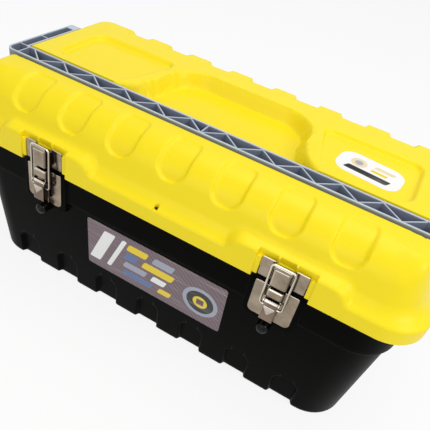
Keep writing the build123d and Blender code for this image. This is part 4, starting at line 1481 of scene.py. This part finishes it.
@dataclass
class HingeAndStuds:
    """Rear hinge leaves of both shells, and the round studs below the latches.

    A leaf is a rounded slab over its side view; a stud is a profile turned about its own axis.
    """

    hinge: Triple = (150.0, 144.511, 170.0)  # place of the pin's middle
    knuckle: float = 5.5  # radius
    arc_points: int = 15
    lid_length: float = 24.0
    tub_length: float = 16.0
    gap: float = 0.4
    leaf_edge: float = 0.8
    strap: tuple[Pair, ...] = ((1.0, 1.7), (0.6, 2.4))  # corners, in knuckle radii out and up
    strap_root: float = 1.4  # in knuckle radii up
    collar_face: float = 132.5
    rim_face: float = 136.4
    rim_drop: float = 2.0
    stud_z: float = 124.0
    stud_span: Pair = (126.0, 147.0)  # root and tip
    stud_radius: Pair = (8.0, 6.6)  # at the root and the tip
    stud_round: float = 4.5
    stud_points: tuple[int, int] = (10, 36)  # along the nose and round it

    def leaf(self, outline: Array, middle: float, length: float) -> Part:
        """One leaf as a slab across X."""
        points, faces = rounded_plate(outline, middle - 0.5 * length, middle + 0.5 * length, self.leaf_edge)
        return points[:, [2, 0, 1]], faces

    def arc(self, first: float, last: float) -> Array:
        """Side view of a knuckle from one angle to another, in degrees."""
        turn = np.radians(np.linspace(first, last, self.arc_points))
        return np.array(self.hinge[1:]) + self.knuckle * np.stack([np.cos(turn), np.sin(turn)], axis=-1)

    def leaves(self, side: Side) -> tuple[Part, list[Part]]:
        """Leaf of the lid and the two leaves of the tub on one side.

        Args:
            side: Side of the hinge.

        Returns:
            The lid's leaf and the tub's leaves.
        """
        across, y, z = self.hinge
        middle = side.value * across
        strap = [(y + out * self.knuckle, z + up * self.knuckle) for out, up in self.strap]
        strap.append((self.rim_face, RIM_TOP - self.rim_drop))
        strap.append((self.rim_face, z + self.strap_root * self.knuckle))
        lid = self.leaf(np.concatenate([self.arc(-180.0, 0.0), strap]), middle, self.lid_length)
        root = [(self.collar_face, z + self.knuckle), (self.collar_face, z - self.knuckle)]
        nose = np.concatenate([self.arc(-90.0, 90.0), root])
        shift = 0.5 * (self.lid_length + self.tub_length) + self.gap
        return lid, [self.leaf(nose, middle + step, self.tub_length) for step in (-shift, shift)]

    def stud(self, side: Side) -> Part:
        """The stud of one side: a tapered barrel with a rounded nose.

        Args:
            side: Side of the stud.

        Returns:
            Points and faces.
        """
        root, tip = self.stud_span
        wide, narrow = self.stud_radius
        along, around = self.stud_points
        turn = np.radians(np.linspace(0.0, 90.0, along))[:-1]
        radius = narrow - self.stud_round * (1.0 - np.cos(turn))
        out = tip - self.stud_round * (1.0 - np.sin(turn))
        profile = np.stack([np.append(wide, radius), -np.append(root, out)], axis=-1)
        return turned(profile, around, (side.value * LATCH_X, 0.0, self.stud_z))

    def build(self, lid_finish: Material, tub_finish: Material, stud_finish: Material) -> None:
        """Builds the leaves and studs of both sides.

        Args:
            lid_finish: The lid's plastic.
            tub_finish: The tub's plastic.
            stud_finish: The shiny plastic of the studs.
        """
        for side in Side:
            lid, tub = self.leaves(side)
            leaf = new_piece(f"lid_hinge_leaf_{side.label}", *lid)
            place_piece(leaf, "lid", lid_finish)
            leaves = new_piece(f"tub_hinge_leaves_{side.label}", *join_parts(tub))
            place_piece(leaves, "base", tub_finish)
            stud = new_piece(f"bumper_stud_{side.label}", *self.stud(side))
            place_piece(stud, "base", stud_finish)


@dataclass
class DrawLatch:
    """One draw latch: stamped plate with bridge, bent lever, wire bail and hooked keeper.

    Local places are across, out and up; out is measured from the plane on which the plate lies.
    """

    side: Side
    finish: Material
    wire_finish: Material
    lever_finish: Material
    plane: float = 135.011
    sheet: float = 1.2  # thickness
    crease: float = 50.0  # angle from which an edge is shaded sharp
    plate: Triple = (23.0, 131.5, 175.5)  # half width, lower and upper end
    plate_round: Triple = (6.0, 1.4, 0.5)  # lower and upper corners, edge
    rib: Triple = (6.5, 150.0, 2.6)  # half width, upper end and rise
    rib_round: Pair = (1.4, 1.1)  # corners and edge
    bridge: Quad = (8.5, 166.5, 178.0, 8.4)  # half width, lower and upper end, and rise
    bridge_round: Pair = (2.5, 2.4)  # corners and edge
    raised_root: float = 0.1  # level at which rib and bridge start
    pin: Pair = (8.0, 162.0)  # out and up
    ear: Triple = (7.3, 8.5, 3.4)  # inner and outer face, radius
    ear_lap: float = 1.0  # overlap of an ear's post with the bridge
    ear_round: float = 0.6
    small_edge: float = 0.3
    lug: Pair = (5.8, 7.0)  # inner and outer face
    lever_front: float = 11.0
    lever_edge: float = 0.45
    lever_bend: Pair = (2.2, 1.4)  # at the head and the grip
    bend_points: int = 9
    head: Pair = (1.0, 2.4)  # reach behind the pin and above it
    grip: Pair = (137.5, 7.0)  # lower end and depth
    cheek: Triple = (0.3, 2.6, 2.8)  # inset of its front, reach above the pin and behind it
    cheek_round: tuple[float, ...] = (0.8, 1.4, 2.2, 2.2, 2.0)  # corners, from the grip by the front
    mark: Quad = (6.8, 157.6, 8.0, 3.0)  # half width, upper end, height and rise of its tip
    mark_levels: Pair = (-0.5, 0.1)  # from the front of the lever
    mark_round: Pair = (0.8, 0.2)  # corners and edge
    wire: float = 1.3  # radius
    bail: Quad = (11.8, 155.5, 206.3, 7.0)  # half width, lower and upper end, and way out
    bail_top_out: float = 5.9
    bail_bend: float = 3.4
    bail_points: int = 12
    bail_gap: float = 0.4
    keeper: Triple = (24.0, 181.5, 205.1)  # half width, lower and upper end
    keeper_sheet: Pair = (-0.8, 0.6)  # back and face
    keeper_round: Pair = (1.2, 0.65)  # corners and edge
    keeper_slit: float = 0.9
    bar_inset: Pair = (1.5, 0.2)  # at the ends, and share of the height below and above
    bar_sink: Pair = (0.1, 0.3)  # from the back and the face of the keeper
    bar_round: float = 1.0
    hook: Triple = (9.0, 204.9, 9.0)  # half width, upper end and way out
    hook_round: Pair = (2.9, 2.8)  # corners and edge
    lip: Triple = (2.6, 2.2, 0.4)  # reach below the hook's top and above it, inset of its front
    lip_round: Pair = (1.2, 0.55)  # corners and edge

    @property
    def middle(self) -> float:
        """Place of the latch along X."""
        return self.side.value * LATCH_X

    def front(self, part: Part) -> Part:
        """Stands a part drawn across and up, with its level as the way out."""
        across, up, out = part[0].T
        return np.stack([self.middle + across, -self.plane - out, up], axis=-1), part[1]

    def profile(self, part: Part) -> Part:
        """Stands a part drawn out and up, with its level as the way across."""
        out, up, across = part[0].T
        return np.stack([self.middle - across, -self.plane - out, up], axis=-1), part[1]

    def plate_parts(self) -> list[Part]:
        """Blank with its rib, the raised bridge and the two ears of the pin.

        Returns:
            The parts of the plate.
        """
        half, low, high = self.plate
        low_round, high_round, edge = self.plate_round
        blank = rectangle((-half, half), (low, high), low_round, high_round)
        parts = [self.front(rounded_plate(blank, 0.0, self.sheet, edge))]
        rib_half, rib_top, rib_rise = self.rib
        bridge_half, bridge_low, bridge_top, rise = self.bridge
        raised = ((rib_half, low, rib_top, rib_rise, self.rib_round),
                  (bridge_half, bridge_low, bridge_top, rise, self.bridge_round))
        for half, low, high, level, (corner, edge) in raised:
            outline = rectangle((-half, half), (low, high), corner, corner)
            parts.append(self.front(rounded_plate(outline, self.raised_root, level, edge)))
        inner, outer, radius = self.ear
        post_up = (self.pin[1], bridge_low + self.ear_lap)
        post = rectangle((0.0, rise), post_up, self.ear_round, self.ear_round)
        for faces in ((-outer, -inner), (inner, outer)):
            parts.append(self.profile(rounded_plate(disc(self.pin, radius), *faces, self.small_edge)))
            parts.append(self.profile(rounded_plate(post, *faces, self.small_edge)))
        return parts

    def lever_parts(self) -> list[Part]:
        """Channel whose head curls over the pin, with two cheeks that hold the bail and a pressed arrow.

        Returns:
            The parts of the lever.
        """
        pin_out, pin_up = self.pin
        low, depth = self.grip
        behind, above = self.head
        skin = self.lever_front - 0.5 * self.sheet
        back = self.lever_front - depth
        foot = low + 0.5 * self.sheet
        top = pin_up + above
        corners = np.array([(pin_out - behind, top), (skin, top), (skin, foot), (back, foot)])
        path = round_corners(corners, self.lever_bend, self.bend_points)
        parts = [self.profile(bent_strip(path, self.lug[1], self.sheet, self.lever_edge))]
        inset, above, behind = self.cheek
        face = self.lever_front - inset
        top = pin_up + above
        corners = ((back, low), (face, low), (face, top), (pin_out - behind, top),
                   (self.bail[3] - behind, self.bail[1]))
        cheek = closed_outline(corners, self.cheek_round)
        for faces in ((-self.lug[1], -self.lug[0]), self.lug):
            parts.append(self.profile(rounded_plate(cheek, *faces, self.small_edge)))
        half, top, height, rise = self.mark
        corner, edge = self.mark_round
        arrow = closed_outline(((0.0, top - height), (half, top), (-half, top)), (corner, corner, corner))
        levels = self.lever_front + np.array(self.mark_levels)
        points, faces = rounded_plate(arrow, *levels, edge)
        lift = rise * (top - points[:, 1]) / height
        points[:, 2] += np.where(points[:, 2] > np.mean(levels), lift, 0.0)
        return [*parts, self.front((points, faces))]

    def bail_part(self) -> Part:
        """Wire loop: a round section along a flat path with round corners, leaning in towards the hook.

        Returns:
            Points and faces.
        """
        half, low, high, out = self.bail
        ends = self.lug[0] - self.bail_gap
        right = np.array([(half, high), (half, low), (ends, low)])
        left = right[::-1] * np.array([-1.0, 1.0])
        path = round_corners(np.concatenate([left, right]), [self.bail_bend] * 4, self.bail_points)
        lean = (self.bail_top_out - out) / (high - low)
        depth = -self.plane - out - lean * (path[:, 1] - low)
        place = np.stack([self.middle + path[:, 0], depth, path[:, 1]], axis=-1)
        normal = np.array([0.0, -1.0, -lean]) / np.hypot(1.0, lean)
        return bent_tube(place, normal, self.wire)

    def keeper_parts(self) -> list[Part]:
        """Two ears and the bar that joins them, the boxed hook and its lip behind which the wire lies.

        Returns:
            The parts of the keeper.
        """
        half, low, high = self.keeper
        hook_half, hook_top, hook_out = self.hook
        hook_span = (-hook_half, hook_half)
        back, face = self.keeper_sheet
        corner, edge = self.keeper_round
        ear = rounded_plate(rectangle((hook_half + self.keeper_slit, half), (low, high), corner, corner),
                            back, face, edge)
        mirrored = (ear[0] * np.array([-1.0, 1.0, 1.0]), ear[1])
        end_inset, share = self.bar_inset
        bar_half = half - end_inset
        margin = share * (high - low)
        bar = rectangle((-bar_half, bar_half), (low + margin, high - margin), self.bar_round, self.bar_round)
        back_sink, face_sink = self.bar_sink
        bar = rounded_plate(bar, back + back_sink, face - face_sink, self.small_edge)
        corner, edge = self.hook_round
        hook = rounded_plate(rectangle(hook_span, (low, hook_top), corner, corner), 0.0, hook_out, edge)
        below, above, inset = self.lip
        corner, edge = self.lip_round
        lip = rounded_plate(rectangle(hook_span, (hook_top - below, hook_top + above), corner, corner),
                            hook_out - self.sheet - inset, hook_out - inset, edge)
        return [self.front(part) for part in (ear, mirrored, bar, hook, lip)]

    def build(self) -> None:
        """Builds the four pieces of the latch and dresses them."""
        label = self.side.label
        plans = (("latch_plate", "base", self.finish, self.plate_parts()),
                 ("latch_lever", f"lever_{label}", self.lever_finish, self.lever_parts()),
                 ("latch_bail", f"bail_{label}", self.wire_finish, [self.bail_part()]),
                 ("latch_keeper", "lid", self.finish, self.keeper_parts()))
        for name, body, finish, parts in plans:
            piece = new_piece(f"{name}_{label}_formed", *join_parts(parts), sharp=self.crease)
            place_piece(piece, body, finish, [f"{name}_{label}"])


@dataclass
class CarriedNode:
    """A CAD node that stays, with its edges broken by a small round and a better finish.

    Attributes:
        node: Name of the node.
        finish: Its material.
        edge: Width of the broken edge in millimetres; zero leaves the mesh as it is.
        weld: Distance in millimetres within which loose corners are joined.
        flat_angle: Angle in degrees below which neighbouring faces become one.
        edge_angle: Angle in degrees from which an edge is broken.
        segments: Faces across a broken edge.
    """

    node: str
    finish: Material
    edge: float = 0.0
    weld: float = 0.02
    flat_angle: float = 1.0
    edge_angle: float = 35.0
    segments: int = 2

    def build(self) -> None:
        """Welds the loose triangles, joins flat ones, rounds the edges and sets the finish."""
        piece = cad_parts[self.node]
        piece.data.materials.clear()
        piece.data.materials.append(self.finish)
        if self.edge:
            weld = piece.modifiers.new("weld", "WELD")
            weld.merge_threshold = self.weld * MM
            flat = piece.modifiers.new("flat", "DECIMATE")
            flat.decimate_type = "DISSOLVE"
            flat.angle_limit = radians(self.flat_angle)
            bevel = piece.modifiers.new("edge", "BEVEL")
            bevel.width = self.edge * MM
            bevel.segments = self.segments
            bevel.limit_method = "ANGLE"
            bevel.angle_limit = radians(self.edge_angle)
            bevel.harden_normals = False
        LOG.info("%s keeps its solid", self.node)


# Stage

@dataclass(frozen=True)
class SoftLamp:
    """A square lamp that faces a target.

    Attributes:
        name: Name of the lamp.
        place: Its place in metres.
        target: The point it faces, in metres.
        side: Its side in metres.
        power: Its power in watts.
    """

    name: str
    place: Triple
    target: Triple
    side: float
    power: float

    def build(self) -> None:
        """Adds the lamp to the scene."""
        data = bpy.data.lights.new(self.name, "AREA")
        data.size = self.side
        data.energy = self.power
        lamp = bpy.data.objects.new(self.name, data)
        lamp.location = self.place
        lamp.rotation_euler = (Vector(self.target) - Vector(self.place)).to_track_quat("-Z", "Y").to_euler()
        bpy.context.scene.collection.objects.link(lamp)


@dataclass
class Stage:
    """Floor, world, lamps and camera.

    Attributes:
        eye: Place of the camera in millimetres.
        turn: Its rotation about X, Y and Z in degrees.
        lens: Focal length in millimetres.
        sensor: Width of the sensor in millimetres.
        near: Nearest distance that the camera shows, in millimetres.
        floor_side: Side of the floor in metres.
        floor_drop: How far the floor lies below the box, in millimetres.
        floor_white: Colour of the floor.
        floor_gloss: Roughness and strength of the floor's reflection.
        floor_glow: Share of plain white with which the floor is seen.
        sky_light: Strength of the world as a light.
        lamps: The lamps.
    """

    eye: Triple = (183.26, -475.39, 513.15)
    turn: Triple = (50.406, -10.536, 28.146)
    lens: float = 42.005
    sensor: float = 36.0
    near: float = 20.0
    floor_side: float = 80.0
    floor_drop: float = 0.6
    floor_white: Triple = (0.86, 0.86, 0.86)
    floor_gloss: Pair = (0.9, 0.1)
    floor_glow: float = 0.86
    sky_light: float = 0.5
    lamps: tuple[SoftLamp, ...] = (
        SoftLamp("overhead", (0.10, 0.30, 1.7), (0.0, 0.0, 0.15), 1.2, 10.4),
        SoftLamp("key_right", (1.25, -0.35, 1.15), (0.0, 0.0, 0.15), 0.6, 6.6),
        SoftLamp("front_fill", (-0.2, -1.75, 0.9), (0.0, 0.0, 0.1), 1.2, 7.2),
    )

    @staticmethod
    def seen(sheet: NodeSheet) -> Socket:
        """One for rays of the camera, of reflections and through glass, and zero for the rest.

        Args:
            sheet: Sheet of the floor or the world.

        Returns:
            The share.
        """
        path = sheet.add("ShaderNodeLightPath").outputs
        direct = sheet.math("MAXIMUM", path["Is Camera Ray"], path["Is Glossy Ray"])
        return sheet.math("MAXIMUM", direct, path["Is Transmission Ray"])

    def camera(self) -> None:
        """Puts the camera where the photograph was taken."""
        data = bpy.data.cameras.new("camera")
        data.lens = self.lens
        data.sensor_width = self.sensor
        data.clip_start = self.near * MM
        camera = bpy.data.objects.new("camera", data)
        camera.location = Vector(self.eye) * MM
        camera.rotation_euler = Euler([radians(angle) for angle in self.turn], "XYZ")
        bpy.context.scene.collection.objects.link(camera)
        bpy.context.scene.camera = camera

    def floor(self) -> None:
        """Lays a pale floor that shows white away from the shadow."""
        half = 0.5 * self.floor_side / MM
        corners = np.array([(-half, -half, 0.0), (half, -half, 0.0), (half, half, 0.0), (-half, half, 0.0)])
        piece = new_piece("floor", corners, [np.arange(4)[None, :]])
        piece.location.z = -self.floor_drop * MM
        finish, sheet, shader = start_material("pale_floor")
        rough, specular = self.floor_gloss
        sheet.fill(shader, Base_Color=self.floor_white, Roughness=rough, Specular_IOR_Level=specular)
        glow = sheet.add("ShaderNodeEmission", Strength=1.0)
        share = sheet.math("MULTIPLY", self.seen(sheet), self.floor_glow)
        blend = sheet.add("ShaderNodeMixShader")
        for socket, value in zip(blend.inputs, (share, shader.outputs[0], glow.outputs[0])):
            sheet.feed(value, socket)
        sheet.fill(finish.node_tree.nodes["Material Output"], Surface=blend.outputs[0])
        piece.data.materials.append(finish)

    def world(self) -> None:
        """White to the camera and in reflections, dimmer as a light."""
        world = bpy.data.worlds.new("studio")
        world.use_nodes = True
        bpy.context.scene.world = world
        sheet = NodeSheet(world.node_tree)
        strength = sheet.math("MULTIPLY_ADD", self.seen(sheet), 1.0 - self.sky_light, self.sky_light)
        sheet.fill(world.node_tree.nodes["Background"], Color=(1.0, 1.0, 1.0), Strength=strength)

    def build(self) -> None:
        """Builds the stage and sets the plain view."""
        bpy.context.scene.view_settings.view_transform = "Standard"
        self.camera()
        self.floor()
        self.world()
        for lamp in self.lamps:
            lamp.build()


# Finishes of this box

# hole paints shade over the seal hole in the ledge
LID_YELLOW = MouldedPlastic(
    "lid_yellow_plastic", colour=(0.93, 0.75, 0.008), deep=(0.91, 0.72, 0.007), rubbed=(0.92, 0.82, 0.16),
    gloss=(0.30, 0.42), wear=0.10, specular=0.26, hole=(0.0, -132.31, 2.1))
TUB_BLACK = MouldedPlastic(
    "tub_black_plastic", colour=(0.0022, 0.0019, 0.0016), deep=(0.0015, 0.0013, 0.0011),
    rubbed=(0.012, 0.011, 0.010), gloss=(0.26, 0.40), wear=0.10, specular=0.02)
STUD_BLACK = MouldedPlastic(
    "stud_black_plastic", colour=(0.0026, 0.0024, 0.0022), deep=(0.0018, 0.0017, 0.0016),
    rubbed=(0.016, 0.015, 0.014), gloss=(0.12, 0.20), grain=0.00002, wear=0.0, specular=0.15)
# its rubbed colour is also the painted highlight on the tops of the handle's ribs
HANDLE_GREY = MouldedPlastic(
    "handle_grey_plastic", colour=(0.22, 0.25, 0.315), deep=(0.19, 0.22, 0.285), rubbed=(0.50, 0.55, 0.64),
    gloss=(0.28, 0.44), highlight_crest=253.0)
TRAY_GREY = MouldedPlastic(
    "tray_grey_plastic", colour=(0.20, 0.22, 0.26), deep=(0.17, 0.19, 0.23), rubbed=(0.34, 0.36, 0.40),
    gloss=(0.34, 0.52))
# In each plating below, the darkest colour is painted shade and the palest colour is painted highlight.
LATCH_NICKEL = PlatedSteel(
    "latch_nickel", colour=(0.37, 0.30, 0.225), tarnish=(0.245, 0.19, 0.14), painted_shade=(0.022, 0.016, 0.012),
    bright=(0.74, 0.68, 0.58), gloss=(0.16, 0.32))
LATCH_LEVER = PlatedSteel(
    "latch_lever_nickel", colour=(0.24, 0.18, 0.135), tarnish=(0.17, 0.125, 0.095),
    painted_shade=(0.022, 0.016, 0.012), bright=(0.82, 0.76, 0.66), gloss=(0.14, 0.28))
LATCH_WIRE = PlatedSteel(
    "latch_wire", colour=(0.64, 0.57, 0.46), tarnish=(0.52, 0.455, 0.36), painted_shade=(0.07, 0.058, 0.046),
    bright=(0.80, 0.74, 0.62), gloss=(0.10, 0.22))
PIN_STEEL = PlatedSteel(
    "pin_steel", colour=(0.62, 0.61, 0.60), tarnish=(0.48, 0.47, 0.46), painted_shade=(0.10, 0.10, 0.10),
    bright=(0.70, 0.69, 0.68), gloss=(0.16, 0.36))

PRINT_LEAN = 0.4
LID_PRINT_TURN = radians(6.0)
FRONT_PRINT = PrintedFoil(
    "front_print", Ink.MAUVE, Ink.PLUM, centre=(4.0, -126.4, 96.5), across=(1.0, 0.0, 0.0),
    up=(0.0, -sin(radians(TUB_DRAFT)), cos(radians(TUB_DRAFT))),
    patches=(
        PrintPatch(Ink.WHITE, (-70.0, 2.0), (7.5, 27.0), 2.0, PRINT_LEAN),
        PrintPatch(Ink.WHITE, (-50.0, 2.0), (3.0, 27.0), 2.0, PRINT_LEAN),
        PrintPatch(Ink.YELLOW, (-22.0, 22.0), (13.0, 5.5), 2.5, PRINT_LEAN),
        PrintPatch(Ink.STEEL, (12.0, 22.0), (13.0, 5.5), 2.5, PRINT_LEAN),
        PrintPatch(Ink.BLUE, (-30.0, 7.0), (8.0, 5.5), 2.5, PRINT_LEAN),
        PrintPatch(Ink.YELLOW, (6.0, 7.0), (20.0, 5.5), 2.5, PRINT_LEAN),
        PrintPatch(Ink.STEEL, (-24.0, -8.0), (15.0, 5.0), 2.0, PRINT_LEAN),
        PrintPatch(Ink.WHITE, (8.0, -8.0), (9.0, 5.0), 2.0, PRINT_LEAN),
        PrintPatch(Ink.BLUE, (-20.0, -22.0), (20.0, 4.5), 2.0, PRINT_LEAN),
        PrintPatch(Ink.YELLOW, (17.0, -22.0), (8.0, 4.5), 2.0, PRINT_LEAN),
        PrintPatch(Ink.STEEL, (62.0, -4.0), (22.0, 22.0), 22.0),
        PrintPatch(Ink.BLACK, (62.0, -4.0), (17.0, 17.0), 17.0),
        PrintPatch(Ink.YELLOW, (62.0, -4.0), (9.0, 9.0), 9.0),
        PrintPatch(Ink.PLUM, (62.0, -4.0), (4.5, 4.5), 1.0),
    ))
LID_PRINT = PrintedFoil(
    "lid_print", Ink.WHITE, Ink.WHITE, centre=(167.0, 8.0, 249.2),
    across=(cos(LID_PRINT_TURN), -sin(LID_PRINT_TURN), 0.0),
    up=(sin(LID_PRINT_TURN), cos(LID_PRINT_TURN), 0.0),
    patches=(
        PrintPatch(Ink.BLACK, (0.0, -10.0), (24.0, 4.5), 2.0, PRINT_LEAN),
        PrintPatch(Ink.CREAM, (-14.0, 5.0), (9.0, 9.0), 9.0),
        PrintPatch(Ink.STEEL, (-14.0, 5.0), (4.5, 4.5), 4.5),
        PrintPatch(Ink.CREAM, (14.0, 10.0), (11.0, 3.0), 1.4, PRINT_LEAN),
        PrintPatch(Ink.YELLOW, (10.0, 1.0), (9.0, 2.4), 1.2, PRINT_LEAN),
    ),
    specular=0.15)

FINISH_PLANS = (LID_YELLOW, TUB_BLACK, STUD_BLACK, HANDLE_GREY, TRAY_GREY, LATCH_NICKEL, LATCH_LEVER,
                LATCH_WIRE, PIN_STEEL, FRONT_PRINT, LID_PRINT)
SINGLE_NODES: dict[str, tuple[str, float]] = {  # finish, and width of the broken edge
    "carry_handle": (HANDLE_GREY.name, 0.35), "lift_out_tray": (TRAY_GREY.name, 0.6),
    "front_label": (FRONT_PRINT.name, 0.0), "lid_label": (LID_PRINT.name, 0.0),
}
PAIRED_NODES: dict[str, str] = {
    "plate_rivets": LATCH_NICKEL.name, "keeper_rivets": LATCH_NICKEL.name,
    "lever_pin": PIN_STEEL.name, "hinge_pin": PIN_STEEL.name,
}


def main() -> None:
    """Builds the finishes, the sub-assemblies and the stage in order."""
    logging.basicConfig(level=logging.INFO, format="%(name)s: %(message)s")
    groups = EffectGroups()
    finishes = {plan.name: plan.build(groups) for plan in FINISH_PLANS}
    lid, tub = finishes[LID_YELLOW.name], finishes[TUB_BLACK.name]
    LidShell().build(lid)
    TubShell().build(tub)
    HingeAndStuds().build(lid, tub, finishes[STUD_BLACK.name])
    for node, (finish, edge) in SINGLE_NODES.items():
        CarriedNode(node, finishes[finish], edge).build()
    for side in Side:
        metals = [finishes[plan.name] for plan in (LATCH_NICKEL, LATCH_WIRE, LATCH_LEVER)]
        DrawLatch(side, *metals).build()
        for node, finish in PAIRED_NODES.items():
            CarriedNode(f"{node}_{side.label}", finishes[finish]).build()
    Stage().build()


if __name__ == "__main__":
    main()
